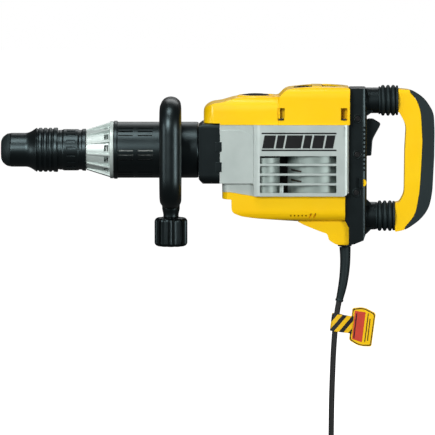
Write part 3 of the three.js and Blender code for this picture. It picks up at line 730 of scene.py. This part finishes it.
noseProfile = [
    (-296.6, 10.2, 0.5), (-296.6, 15.5, 1), (-294, 21.9, 3), (-288.8, 26.3, 3), (-284.2, 28.9, 1),
    (-283.4, 28.4, 0.3), (-282.4, 28.4, 0.3), (-281.8, 29.3, 0.4), (-280.5, 29.3, 0.4), (-280.5, 16.6),
    (-290.3, 16.6), (-290.3, 10.2)]


def sleeveProfile():
    # a smooth front that widens to four rounded ribs
    outer = [(-280.2, 29.1, 0.5), (-278.5, 29.6, 0.5), (-250.3, 29.6, 4), (-243, 32.6, 4), (-235.5, 37.9, 2)]
    for x in (-232, -223.2, -214.5, -206.3):
        outer += [(x - 2.3, 38.6, 0.8), (x - 0.6, 36.3, 0.5), (x + 0.6, 36.3, 0.5), (x + 2.3, 38.6, 0.8)]
    outer += [(-199.4, 38.9, 0.8), (-197.4, 38.6, 0.8)]
    inner = [
        (-197.4, 35.4), (-212, 35.4), (-212, 24.8), (-230, 24.8), (-230, 19.5), (-234, 19.5), (-234, 24.8),
        (-280.2, 24.8)]
    return outer + inner


collarNotches = {"count": 18, "turn": 81.4}


def makeToolHolder():
    nose = turned("dustCap", noseProfile)
    fit(nose, rubber, "tool_holder", "soft_rubber", "nose_cap")
    sleeve = turned("lockingSleeve", sleeveProfile())
    fit(sleeve, black, "locking_sleeve", "black_plastic", "locking_sleeve")
    collar = turned("indexCollar", [
        (-203, 32.4), (-203, 34.2, 0.4), (-195.6, 34.2), (-194, 34.8, 0.8), (-189.5, 34.8, 0.6),
        (-187, 36.2, 0.8), (-162, 36.2, 0.8), (-160, 34.6, 0.6), (-155.5, 34.8, 0.6), (-154.2, 36.6, 0.6),
        (-148.6, 36.9, 0.6), (-148.2, 35.5), (-148.2, 24.6), (-155, 24.6), (-155, 19.4), (-195.5, 19.4),
        (-195.5, 32.4)])
    notches = []
    for k in range(collarNotches["count"]):
        notch = roundEdges(block("notch", (-182, -2.6, 34.2), (-166, 2.6, 40)), 1, 2)
        notches.append(turnInPlace(notch, collarNotches["turn"] + 360 / collarNotches["count"] * k))
    cutAway(collar, notches)
    fit(collar, black, "tool_holder", "black_plastic", "index_collar")


def makeSleeveSpring():
    # a smoothed steel copy of the sleeve spring as it stands; on the tool the spring shortens as the locking
    # sleeve is pulled back over it
    spring = copyOf("sleeveSpring", "sleeve_spring")
    smooth(spring, steel, 60)
    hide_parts("sleeve_spring")
    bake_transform(spring)


# barrel

castingRibs = {"count": 12, "turn": 7.5, "halfWidth": 1.8, "windowTurn": 22.5}
barrelSlots = {
    "groups": 7, "turn": 97.3, "spacing": 9.7, "halfWidth": 1.2, "columns": [(-91.9, -65.3), (-57.8, -31.2)]}


def makeFrontCasting():
    core = turned("frontCasting", [
        (-147.6, 34, 1), (-107, 41.5, 2), (-106.2, 49.9, 0.8), (-99.9, 49.9, 0.8), (-99.9, 40), (-108.5, 40),
        (-112, 24.6), (-147.6, 24.6)])
    ribs = []
    windows = []
    half = castingRibs["halfWidth"]
    for k in range(castingRibs["count"]):
        turn = 360 / castingRibs["count"] * k
        rib = slab("rib", [(-147.4, 28), (-105.4, 38), (-105.4, 49.2), (-147.4, 35.6)], "y", -half, half)
        ribs.append(turnInPlace(roundEdges(rib, 0.9, 2), castingRibs["turn"] + turn))
        window = block("window", (-116, -5.4, 30), (-109, 5.4, 60))
        windows.append(turnInPlace(window, castingRibs["windowTurn"] + turn))
    combine(core, joined("ribs", ribs), "UNION")
    cutAway(core, windows)
    fit(core, silver, "root", "cast_silver", "front_flange")


def makeBarrelCover():
    cover = turned("barrelCover", [
        (-99.6, 49.6, 0.6), (-98.6, 50.8, 0.6), (-93.6, 50.8, 0.6), (-92.8, 49, 0.5), (46, 49, 1),
        (48.3, 48, 0.8), (48.3, 45), (-99.6, 45)], sides=128)
    cutters = []
    half = barrelSlots["halfWidth"]
    for group in range(barrelSlots["groups"]):
        middle = barrelSlots["turn"] + group * 360 / barrelSlots["groups"]
        for k in (-1, 0, 1):
            for start, end in barrelSlots["columns"]:
                corners = [(start, -half, 1), (end, -half, 1), (end, half, 1), (start, half, 1)]
                slot = slab("slot", corners, "z", 40, 55, 3)
                cutters.append(turnInPlace(slot, middle + k * barrelSlots["spacing"]))
    cutAway(cover, cutters)
    fit(cover, black, "root", "black_plastic", "barrel_sleeve")
    liner = turned("barrelLiner", [(-97, 42.8), (-97, 44.3), (-24, 44.3), (-24, 42.8)], sides=96)
    fit(liner, casting, "root", "aluminium")


# side handle

loop = {
    "barY": -108, "top": 77, "bottom": -82, "corner": 38, "rootY": 14, "radii": (15.6, 17.2), "widen": 1.13}
knob = {"top": -118.5, "bottom": -169, "radius": 27.5, "lobes": 10, "flute": 2.4, "edge": 6}


def loopLine():
    barY, top, bottom, corner, rootY = (loop[k] for k in ("barY", "top", "bottom", "corner", "rootY"))
    corners = [(rootY, top), (barY, top, corner), (barY, bottom, corner), (rootY, bottom)]
    line = [Vector((0, y, z)) for y, z in roundCorners(corners, 14)]
    dense = []
    for a, b in zip(line, line[1:]):
        count = max(1, round((b - a).length / 5))
        dense += [a.lerp(b, k / count) for k in range(count)]
    return dense + [line[-1]]


def makeSideHandle():
    line = loopLine()
    travelled = [0]
    for a, b in zip(line, line[1:]):
        travelled.append(travelled[-1] + (b - a).length)
    thin, thick = loop["radii"]
    radii = [thin + (thick - thin) * math.sin(math.pi * t / travelled[-1]) for t in travelled]
    bar = tube("loopBar", line, radii, 48)
    editAll(bar)
    bpy.ops.transform.resize(value=(loop["widen"], 1, 1), center_override=(0, 0, 0))
    bpy.ops.object.mode_set(mode="OBJECT")
    saddle = roundEdges(block("saddle", (-15, -20, -72), (15, 14, 68)), 3, 3)
    cutAway(saddle, [rod("barrelBore", "x", -30, 30, (0, 0), 52.9, 96, 0)])
    cutAway(saddle, [rod("boltBore", "z", -90, -50, (0, 0), 9.2, 32, 0)])
    stem = turned("stem", [
        (-118.2, 5.4), (-118.2, 13.4, 1), (-112, 13.4, 3), (-104, 15.5, 3), (-90, 15.5, 1), (-90, 5.4)],
        "z", (0, 0), 64)
    handle = joined("sideHandle", [bar, saddle, stem])
    fit(handle, black, "side_handle", "black_plastic", "side_handle_loop")
    band = turned("clampBand", [(-13, 49.6), (-13, 52.6, 0.6), (13, 52.6, 0.6), (13, 49.6)], sides=128)
    fit(band, black, "side_handle", "steel", "clamp_band")


def makeKnob():
    points = []
    count = knob["lobes"] * 12
    for k in range(count):
        turn = k / count * 2 * math.pi
        wave = abs(math.sin(turn * knob["lobes"] / 2))
        radius = knob["radius"] - knob["flute"] * (1 - wave) ** 2
        points.append((radius * math.cos(turn), radius * math.sin(turn)))
    body = slab("clampKnob", points, "z", knob["bottom"], knob["top"])
    editAll(body)
    bpy.ops.mesh.select_all(action="DESELECT")
    bpy.ops.object.mode_set(mode="OBJECT")
    for face in body.data.polygons:
        face.select = abs(face.normal.z) > 0.9
    bpy.ops.object.mode_set(mode="EDIT")
    bpy.ops.mesh.bevel(
        offset=knob["edge"] * mm, offset_type="OFFSET", segments=5, profile=0.5, affect="EDGES")
    bpy.ops.object.mode_set(mode="OBJECT")
    fit(body, black, "clamp_knob", "black_plastic", "clamp_knob", angle=50)


makeToolHolder()
makeSleeveSpring()
print("tool holder made")
makeFrontCasting()
makeBarrelCover()
print("barrel made")
makeSideHandle()
makeKnob()
print("side handle made")


# castings and covers

castings = {
    "wall": 4.5, "front": 48.6, "gearboxRear": 85.4, "crankcase": (85.7, 143.5), "halfWidth": 50,
    "housing": (143.8, 309.8), "housingHalfWidth": 55, "bottom": -77.7, "top": 46.3,
    "louvres": {"first": -20.7, "pitch": 17, "height": 13.4, "count": 4, "span": (155, 288)},
    "tabs": [(-0.2, 16.8), (-35.2, -18.2)]}


def makeGearboxFront():
    front, rear, wall = castings["front"], castings["gearboxRear"], castings["wall"]
    section = [(-50, -57, 16), (50, -57, 16), (50, 49, 8), (-50, 49, 8)]
    side = [(front, -48), (56, -57), (90, -57), (90, 49), (56, 49), (front, 43)]
    shell = common(slab("gearboxFront", section, "x", front, rear), slab("side", side, "y", -60, 60))
    inside = [(y - math.copysign(wall, y), z - math.copysign(wall, z), r) for y, z, r in section]
    cutAway(shell, [slab("inside", inside, "x", 56, rear + 1)])
    roundEdges(shell, 2, 4)
    hub = turned("hub", [(50, 27.4), (50, 33), (rear, 33), (rear, 27.4)])
    combine(shell, hub, "UNION")
    cutAway(shell, [rod("bore", "x", 40, 100, (0, 0), 27.4, 64, 0)])
    tabs = []
    for low, high in castings["tabs"]:
        for side in (-1, 1):
            ys = sorted((side * 48.5, side * 51.2))
            tabs.append(roundEdges(block("tab", (rear - 8, ys[0], low), (rear + 3.3, ys[1], high)), 0.8, 2))
    shell = joined("gearboxFront", [shell, *tabs])
    fit(shell, black, "root", "black_plastic", "gearbox_front")


def makeCrankcase():
    front, rear = castings["crankcase"]
    half, wall, top = castings["halfWidth"], castings["wall"], castings["top"]
    upper = block("crankcaseCasting", (front, -half, -55.5), (rear, half, top))
    bossPlan = [(89.5, -44, 14), (rear, -44), (rear, 44), (89.5, 44, 14)]
    lower = slab("boss", bossPlan, "z", castings["bottom"], -50, 10)
    combine(upper, lower, "UNION")
    under = [(80, -70.7), (103, -70.7), (rear, castings["bottom"]), (160, -90), (80, -90)]
    slope = slab("slope", under, "y", -60, 60)
    inside = block("inside", (front + 4.7, -half + wall, -51), (150, half - wall, 60))
    bossInside = block("bossInside", (96, -44 + wall, -80), (150, 44 - wall, -45))
    for cutter in (slope, inside, bossInside, rod("bore", "x", 80, 100, (0, 0), 27.4, 64, 0)):
        combine(upper, cutter, "DIFFERENCE")
    step = [
        (front - 1, top + 1), (front - 1, 36.5, 4), (front + 34, 38, 20), (rear - 6, 31, 10), (rear + 1, 20),
        (rear + 1, top + 1)]
    cutAway(upper, [slab("fold", step, "y", -half - 1, -half + 0.9, 10)])
    roundEdges(upper, 1.4, 4)
    fit(upper, silver, "root", "cast_silver", "crankcase")


def housingPlan(inset):
    front, rear = castings["housing"]
    half, wide = castings["halfWidth"] - inset, castings["housingHalfWidth"] - inset
    return [
        (front, -half), (152, -wide, 6), (rear - inset, -wide, 9), (rear - inset, wide, 9), (152, wide, 6),
        (front, half)]


def makeMotorHousing():
    low, high, wall = castings["bottom"], castings["top"], castings["wall"]
    housing = slab("motorHousing", housingPlan(0), "z", low, high)
    combine(housing, slab("inside", housingPlan(wall), "z", low - 5, high + 5), "DIFFERENCE")
    combine(housing, block("mouth", (140, -45.5, low - 5), (160, 45.5, high + 5)), "DIFFERENCE")
    combine(housing, slab("chamfer", [(300, -80), (312, -80), (312, -68)], "y", -60, 60), "DIFFERENCE")
    louvres = castings["louvres"]
    start, end = louvres["span"]
    openings = []
    for k in range(louvres["count"]):
        bottom = louvres["first"] - k * louvres["pitch"]
        top = bottom + louvres["height"]
        corners = [(start, bottom, 1.5), (end, bottom, 1.5), (end, top, 1.5), (start, top, 1.5)]
        openings.append(slab("louvre", corners, "y", -60, 60, 3))
    cutAway(housing, openings)
    corners = [(300.4, 23.5, 1.6), (303.6, 23.5, 1.6), (303.6, 42.5, 1.6), (300.4, 42.5, 1.6)]
    cutAway(housing, [slab("slot", corners, "y", *span) for span in ((-57, -53.6), (53.6, 57))])
    roundEdges(housing, 0.9, 3)
    fit(housing, silver, "root", "cast_silver", "motor_housing")


def makeCastings():
    makeGearboxFront()
    makeCrankcase()
    makeMotorHousing()


topCover = {
    "wall": 3.5, "capAt": (148, 0), "capRadius": 24.6, "ventAt": (254.6, 0), "ventRadius": 40.8,
    "side": [(57.4, 49.4), (57.4, 74, 9), (71, 83.2, 8), (90, 85.6, 6), (113, 93, 8), (189, 95, 2),
             (201, 108, 10), (240.5, 112.6, 20), (270.7, 113.4, 20), (300, 111.5, 20), (311.5, 109.6, 3),
             (311.5, 46.6), (85.7, 46.6), (85.7, 49.4)]}


coverWells = {"spans": [(185.5, 197.8), (295.4, 306.8)], "low": 54.5, "high": 76, "depth": (36, 39)}


def coverBody(inset):
    low, high, back = 50 - inset, 53 - inset, 184 + inset
    frontArch = [(-low, 40), (low, 40), (low, 97 - inset, 27), (-low, 97 - inset, 27)]
    rearArch = [(-high, 40), (high, 40), (high, 114 - inset, 22), (-high, 114 - inset, 22)]
    humpPlan = [(back, -70, 40), (330, -70), (330, 70), (back, 70, 40)]
    front = slab("topCover", frontArch, "x", 50, 260, 10)
    rear = slab("hump", rearArch, "x", 180, 320, 10)
    combine(rear, slab("humpPlan", humpPlan, "z", 30, 120, 10), "INTERSECT")
    combine(front, rear, "UNION")
    start, end, half, wide = 57.4 + inset, 311.5 - inset, 52 - inset, 56 - inset
    plan = [(start, -half, 32), (end, -wide, 6), (end, wide, 6), (start, half, 32)]
    return combine(front, slab("plan", plan, "z", 30, 120, 10), "INTERSECT")


def makeTopCover():
    wall, side, capAt = topCover["wall"], topCover["side"], topCover["capAt"]
    cover = combine(coverBody(0), slab("side", side, "y", -60, 60, 8), "INTERSECT")
    lowered = [(x, z - wall, *rest) for x, z, *rest in side]
    inside = combine(coverBody(wall), slab("lowered", lowered, "y", -60, 60, 8), "INTERSECT")
    combine(cover, inside, "DIFFERENCE")
    rimProfile = [(90, 27), (96.2, 27, 1), (96.6, 34, 2), (94.6, 37.5, 2), (90, 37.5)]
    combine(cover, turned("rim", rimProfile, "z", (152.7, 0), 96), "UNION")
    cutters = [
        block("underside", (80, -49, 40), (320, 49, 48.6)),
        rod("capSeat", "z", 80, 120, capAt, topCover["capRadius"], 64, 0),
        rod("ventHole", "z", 100, 120, topCover["ventAt"], topCover["ventRadius"], 96, 0)]
    for cutter in cutters:
        combine(cover, cutter, "DIFFERENCE")
    low, high = coverWells["low"], coverWells["high"]
    wells = [block("well", (start, near, low), (end, far, high))
             for start, end in coverWells["spans"] for near, far in ((-60, -47), (47, 60))]
    cutAway(cover, wells)
    roundEdges(cover, 1, 3)
    fit(cover, yellow, "root", "yellow_plastic", "top_cover", angle=42)
    cap = turned("crankcaseCap", [
        (86, 0), (86, 24.2), (95.4, 24.2, 0.8), (96.6, 23, 0.6), (97.4, 20, 1), (97.2, 17, 1), (98.3, 14, 4),
        (98.8, 0)], "z", capAt, 64)
    fit(cap, dark, "root", "black_plastic", "crankcase_cap")


grille = {"top": 110.3, "thickness": 3.4, "radius": 40.4, "slots": 9, "pitch": 7.6, "width": 4.6, "reach": 34}


def makeVentGrille():
    x, y = topCover["ventAt"]
    low, high = grille["top"] - grille["thickness"], grille["top"]
    disc = rod("ventGrille", "z", low, high, (x, y), grille["radius"], 96, 0.8)
    slots = []
    for k in range(grille["slots"]):
        across = (k - (grille["slots"] - 1) / 2) * grille["pitch"]
        reach = math.sqrt(grille["reach"] ** 2 - across ** 2)
        left, right = x + across - grille["width"] / 2, x + across + grille["width"] / 2
        for near, far in ((-reach, -5), (5, reach)):
            if far - near > 6:
                corners = [(left, near, 1), (right, near, 1), (right, far, 1), (left, far, 1)]
                slots.append(slab("slot", corners, "z", 95, 120, 3))
    cutAway(disc, slots)
    roundEdges(disc, 0.4, 2)
    fit(disc, dark, "root", "black_plastic", "vent_grille")
    rim = topCover["ventRadius"]
    spoke = block("ventSpoke", (x - 9, -rim - 0.5, high + 0.1), (x + 9, rim + 0.5, high + 3))
    plate = common(spoke, rod("round", "z", 100, 120, (x, y), rim + 0.4, 96, 0))
    roundEdges(plate, 1.1, 3)
    fit(plate, yellow, "root", "yellow_plastic")
    duct = turned("ventDuct", [(101, 34), (101, 40), (106.6, 40), (106.6, 36), (103, 34)], "z", (x, y), 96)
    fit(duct, dark, "root", "black_plastic")


lowerCover = {
    "wall": 3.5, "top": -78,
    "dots": {"first": 209, "pitch": 6.6, "count": 5, "z": -112}, "slashes": (243, 250.5)}


def lowerSide(inset):
    top = lowerCover["top"]
    return [
        (89.6, -71 + inset), (103, -71 + inset), (143.5, top + inset), (303.4, top + inset), (303.4, -122),
        (310.2, -134), (310.2 - inset, -164.5 + inset, 3), (288.8, -164.5 + inset, 6),
        (275.6, -156 + inset, 3), (272.7 + inset, -145 + inset, 4), (259.4, -140.5 + inset, 8),
        (231, -129 + inset, 20), (219.6, -122.5 + inset, 8), (146, -117 + inset, 20),
        (120.9, -113 + inset, 10), (105.7 + inset, -106 + inset, 7), (105.7 + inset, -84, 2), (89.6, -83, 1)]


def lowerSolid(inset):
    wide, narrow, deep = 46 - inset, 30 - inset, -123 + inset
    trough = [(-wide, deep, 22), (wide, deep, 22), (wide, -60), (-wide, -60)]
    footSection = [(-narrow, -168, 8), (narrow, -168, 8), (narrow, -60), (-narrow, -60)]
    main = slab("lowerCover", trough, "x", 80, 320, 10)
    combine(main, slab("foot", footSection, "x", 222 + inset, 320, 6), "UNION")
    front, rear, half = 89.6 + inset, 310.2 - inset, 50 - inset
    plan = [(front, -half, 24), (rear, -half, 4), (rear, half, 4), (front, half, 24)]
    combine(main, slab("plan", plan, "z", -180, -60, 10), "INTERSECT")
    return combine(main, slab("side", lowerSide(inset), "y", -60, 60, 6), "INTERSECT")


def makeLowerCover():
    cover = lowerSolid(0)
    inside = lowerSolid(lowerCover["wall"])
    combine(inside, block("room", (108, -60, -180), (300, 60, -68)), "INTERSECT")
    mouth = block("mouth", (115, -42, -90), (298, 42, -70))
    cordHole = rod("cordHole", "z", -170, -150, (300, 0), 7.4, 32, 0)
    for cutter in (inside, mouth, cordHole):
        combine(cover, cutter, "DIFFERENCE")
    dots = lowerCover["dots"]
    marks = []
    for k in range(dots["count"]):
        x = dots["first"] + k * dots["pitch"]
        marks.append(rod("dot", "y", -47, -38, (x, dots["z"]), 1.4, 16, 0))
    for x in lowerCover["slashes"]:
        corners = [(x - 2.8, -116, 1), (x - 0.2, -116, 1), (x + 2.8, -108, 1), (x + 0.2, -108, 1)]
        marks.append(slab("slash", corners, "y", -47, -40, 3))
    cutAway(cover, marks)
    roundEdges(cover, 0.9, 3)
    fit(cover, yellow, "root", "yellow_plastic", "lower_cover", angle=42)


rearDetails = {
    "screws": [(325.5, 56.5), (324.5, -6), (323.4, -72.5)], "face": -38, "ventX": 336.6, "vents": 11,
    "ventTop": 41, "pitch": 7.4, "ventHalf": 1.7,
    # a small hood that covers the front of the speed dial: the foot and the plate, each as two corners
    "hood": [((325.3, -42.8, -64), (327.9, -37, -46)), ((325.3, -42.8, -64), (334.6, -40.6, -46))],
    # wedges under and over the necks of the bellows
    "gussets": [[(336, 60), (342, 60, 3), (353, 68, 4), (353, 76), (336, 76)],
                [(336, -84), (340, -84, 3), (352, -95, 4), (352, -104), (336, -104)],
                [(330, -140), (352, -130), (352, -136, 4), (340, -148, 4), (330, -150)]]}


def makeRearHousing():
    left = roundEdges(copyOf("leftRearHousing", "rear_housing_left"), 1, 2)
    vents = []
    x, half = rearDetails["ventX"], rearDetails["ventHalf"]
    for k in range(rearDetails["vents"]):
        z = rearDetails["ventTop"] - k * rearDetails["pitch"]
        vents.append(block("vent", (x - half, -42, z - half), (x + half, -34.8, z + half)))
    cutAway(left, vents)
    extras = [roundEdges(block("hood", low, high), 0.9, 3) for low, high in rearDetails["hood"]]
    face = rearDetails["face"]
    boss = [(face + 0.5, 5.9), (face - 0.9, 5.9, 0.3), (face - 0.9, 7.6, 0.5), (face + 0.5, 8.4)]
    extras += [turned("boss", boss, "y", place, 48) for place in rearDetails["screws"]]
    for corners in rearDetails["gussets"]:
        extras.append(roundEdges(slab("gusset", corners, "y", -15, -1), 0.9, 3))
    left = joined("leftRearHousing", [left, *extras])
    fit(left, black, "root", "black_plastic", "rear_housing_left")
    right = roundEdges(copyOf("rightRearHousing", "rear_housing_right"), 1, 2)
    fit(right, black, "root", "black_plastic", "rear_housing_right")


def makeHandle():
    shell = roundEdges(copyOf("handleFrame", "handle_frame"), 2, 4)
    fit(shell, yellow, "rear_handle", "yellow_plastic", "handle_frame")
    grip = roundEdges(copyOf("handleGrip", "handle_overmould"), 1.5, 4)
    fit(grip, rubber, "rear_handle", "soft_rubber", "handle_overmould")


def makeTrigger():
    lever = roundEdges(copyOf("triggerLever", "trigger"), 1.5, 3)
    fit(lever, black, "trigger", "black_plastic", "trigger")


louvreLiner = {
    "wall": 1.2, "low": -76.5, "vents": (-33.5, -51), "post": (193, -42, 3.6),
    "motor": (252, 0, 48.6, -4), "gears": (166, 24, 24, -11.2)}  # centre x and y, radius, top


def linerTube(name, x, y, radius, high):
    low, inside = louvreLiner["low"], radius - louvreLiner["wall"]
    return turned(name, [(low, inside), (low, radius), (high, radius), (high, inside)], "z", (x, y), 96)


def makeLouvreLiner():
    # rolled sheet round the motor and beside the gears, which shows between the louvres
    guide = linerTube("airGuide", *louvreLiner["motor"])
    vents = []
    for z in louvreLiner["vents"]:
        corners = [(207, z - 1), (227, z - 3.4), (228, z - 0.2), (208, z + 2.4)]
        vents.append(slab("vent", corners, "y", -60, -20))
    cutAway(guide, vents)
    fit(guide, guideMetal, "root", "steel")
    x, y, radius, high = louvreLiner["gears"]
    for name, across in (("gearShieldLeft", -y), ("gearShieldRight", y)):
        fit(linerTube(name, x, across, radius, high), guideMetal, "root", "steel")
    x, y, radius = louvreLiner["post"]
    fit(rod("housingPost", "z", -76.5, -58, (x, y), radius), silver, "root", "cast_silver")
    wall = roundEdges(block("ductWall", (156, -8, -77), (204, 8, high)), 1, 2)
    fit(wall, dark, "root", "black_plastic")


badge = {"left": 158, "right": 288, "bottom": 1.5, "top": 33.5, "bar": 2.6, "face": -55, "lift": 0.5,
         "blocks": [(1, 20), (24, 13), (40, 28), (71, 13), (87, 19), (109, 15)], "lean": 4.2}


def makeBadge():
    # a plain nameplate pattern of slanted blocks between two bars, with no lettering
    low, high = badge["face"] - badge["lift"], badge["face"] + 0.2
    left, right, bar, lean = badge["left"], badge["right"], badge["bar"], badge["lean"]
    pieces = []
    for z in (badge["bottom"], badge["top"] - bar):
        corners = [(left, z), (right, z), (right, z + bar), (left, z + bar)]
        pieces.append(slab("bar", corners, "y", low, high))
    foot, head = badge["bottom"] + bar + 2, badge["top"] - bar - 2
    for start, width in badge["blocks"]:
        x = left + start
        corners = [(x, foot), (x + width, foot), (x + width + lean, head), (x + lean, head)]
        pieces.append(slab("block", corners, "y", low, high))
    plate = joined("badgePattern", pieces)
    roundEdges(plate, 0.25, 2)
    fit(plate, ink, "root", "black_plastic")


def makeCoverWells():
    liners, screws = [], []
    near, far = coverWells["depth"]
    low, high = coverWells["low"], coverWells["high"]
    for start, end in coverWells["spans"]:
        for side in (-1, 1):
            ys = sorted((side * near, side * far))
            liners.append(block("wellBack", (start - 1.5, ys[0], low - 2), (end + 1.5, ys[1], high + 2)))
            screws.append(turned("screw", [
                (54.4, 0), (54.4, 4.6, 0.5), (57.4, 4.6, 0.8), (57.4, 2.4), (55.8, 2.2), (55.8, 0)], "z",
                ((start + end) / 2, side * 49.8), 32))
    backs = joined("coverWellBacks", liners)
    roundEdges(backs, 1, 2)
    fit(backs, yellow, "root", "yellow_plastic")
    heads = joined("coverScrews", screws)
    fit(heads, ink, "root", "steel")


def torxHead(x, z, face):
    profile = [(face + 1.2, 0), (face + 1.2, 5, 0.4), (face - 0.9, 5, 1), (face - 0.9, 0)]
    head = turned("head", profile, "y", (x, z), 48)
    star = []
    for k in range(36):
        turn = k / 36 * 2 * math.pi
        reach = 2.5 + 0.45 * math.cos(6 * turn)
        star.append((x + reach * math.cos(turn), z + reach * math.sin(turn)))
    return cutAway(head, [slab("socket", star, "y", face - 3, face + 0.2)])


def makeRearScrews():
    for place, (x, z) in zip(("top", "middle", "bottom"), rearDetails["screws"]):
        head = torxHead(x, z, rearDetails["face"] + 2.2)
        shank = rod("shank", "y", rearDetails["face"] + 4, 20, (x, z), 2.6, 24, 0.4)
        screw = joined(place + "RearScrew", [head, shank])
        fit(screw, ink, "root", "steel", "rear_screw_" + place)


speedDial = {
    "centre": (334.5, -55), "radius": 6.3, "ripple": 0.25, "ripples": 18, "front": -40, "back": -35.8}


def makeSpeedDial():
    x, z = speedDial["centre"]
    points = []
    for k in range(72):
        turn = k / 72 * 2 * math.pi
        radius = speedDial["radius"] + speedDial["ripple"] * math.cos(speedDial["ripples"] * turn)
        points.append((x + radius * math.cos(turn), z + radius * math.sin(turn)))
    dial = slab("speedWheel", points, "y", speedDial["front"], speedDial["back"])
    mark = [(x - 0.8, z - 3.5, 0.4), (x + 0.8, z - 3.5, 0.4), (x + 0.8, z + 5, 0.4), (x - 0.8, z + 5, 0.4)]
    pointer = slab("pointer", mark, "y", speedDial["front"] - 1, speedDial["front"] + 0.7)
    combine(dial, pointer, "DIFFERENCE")
    roundEdges(dial, 0.3, 2, 60)
    fit(dial, yellow, "speed_dial", "yellow_plastic", "speed_dial")


bellows = {
    "upper": {"front": 362.6, "rear": 396.4, "z": 86.6, "outer": 27},
    "lower": {"front": 357.3, "rear": 391.2, "z": -115.5, "outer": 26.8}}


def makeBellows():
    for place, fold in bellows.items():
        front, rear, outer = fold["front"], fold["rear"], fold["outer"]
        profile = [(front, 19), (front, outer - 2.6, 0.8), (front + 2.4, outer - 2.6, 0.6)]
        pitch = (rear - front - 7) / 3
        for k in range(3):
            start = front + 3 + k * pitch
            profile += [
                (start + 0.3, outer - 4.6, 0.8), (start + pitch * 0.3, outer, 1.6),
                (start + pitch * 0.72, outer, 1.6), (start + pitch - 0.3, outer - 4.6, 0.8)]
        profile += [(rear - 3.4, outer - 1, 0.8), (rear, outer - 1, 0.8), (rear, 19)]
        piece = turned(place + "Bellows", profile, "x", (0, fold["z"]), 72)
        smooth(piece, rubber, 50)
        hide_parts("bellows_" + place)
        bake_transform(piece)


makeCastings()
makeLouvreLiner()
makeBadge()
makeCoverWells()
makeTopCover()
makeVentGrille()
makeLowerCover()
makeRearHousing()
makeRearScrews()
makeSpeedDial()
makeHandle()
makeTrigger()
makeBellows()
print("castings, covers and handle made")


# CAD nodes that stay as they are get their real finishes

finishes = [
    (steel, "tool_holder locking_segment_upper locking_segment_lower cylinder beat_piece striker wrist_pin"
            " connecting_rod crankshaft crank_gear reduction_gear motor_shaft bearing_upper bearing_lower"
            " damper_rod_upper damper_rod_lower clamp_bolt"),
    (iron, "armature_core stator"),
    (copper, "commutator brush_holder_left brush_holder_right"),
    (casting, "piston bearing_plate"),
    (black, "fan switch_module control_module")]
for material, nodes in finishes:
    for node in nodes.split():
        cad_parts[node].data.materials.clear()
        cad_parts[node].data.materials.append(material)


# floor

def addFloor():
    clearSelection()
    bpy.ops.mesh.primitive_plane_add(size=studio["floorSize"], location=(0, 0, studio["floorZ"]))
    floor = bpy.context.object
    floor.name = "studioFloor"
    material, tree, shader = newMaterial("paleFloor", Roughness=0.9)
    shader.inputs["Base Color"].default_value = (0.9, 0.9, 0.9, 1)
    shader.inputs["Emission Color"].default_value = (1, 1, 1, 1)
    shader.inputs["Emission Strength"].default_value = 0.96
    floor.data.materials.append(material)
    floor.visible_diffuse = False
    floor.visible_glossy = False


addFloor()
print("finished")
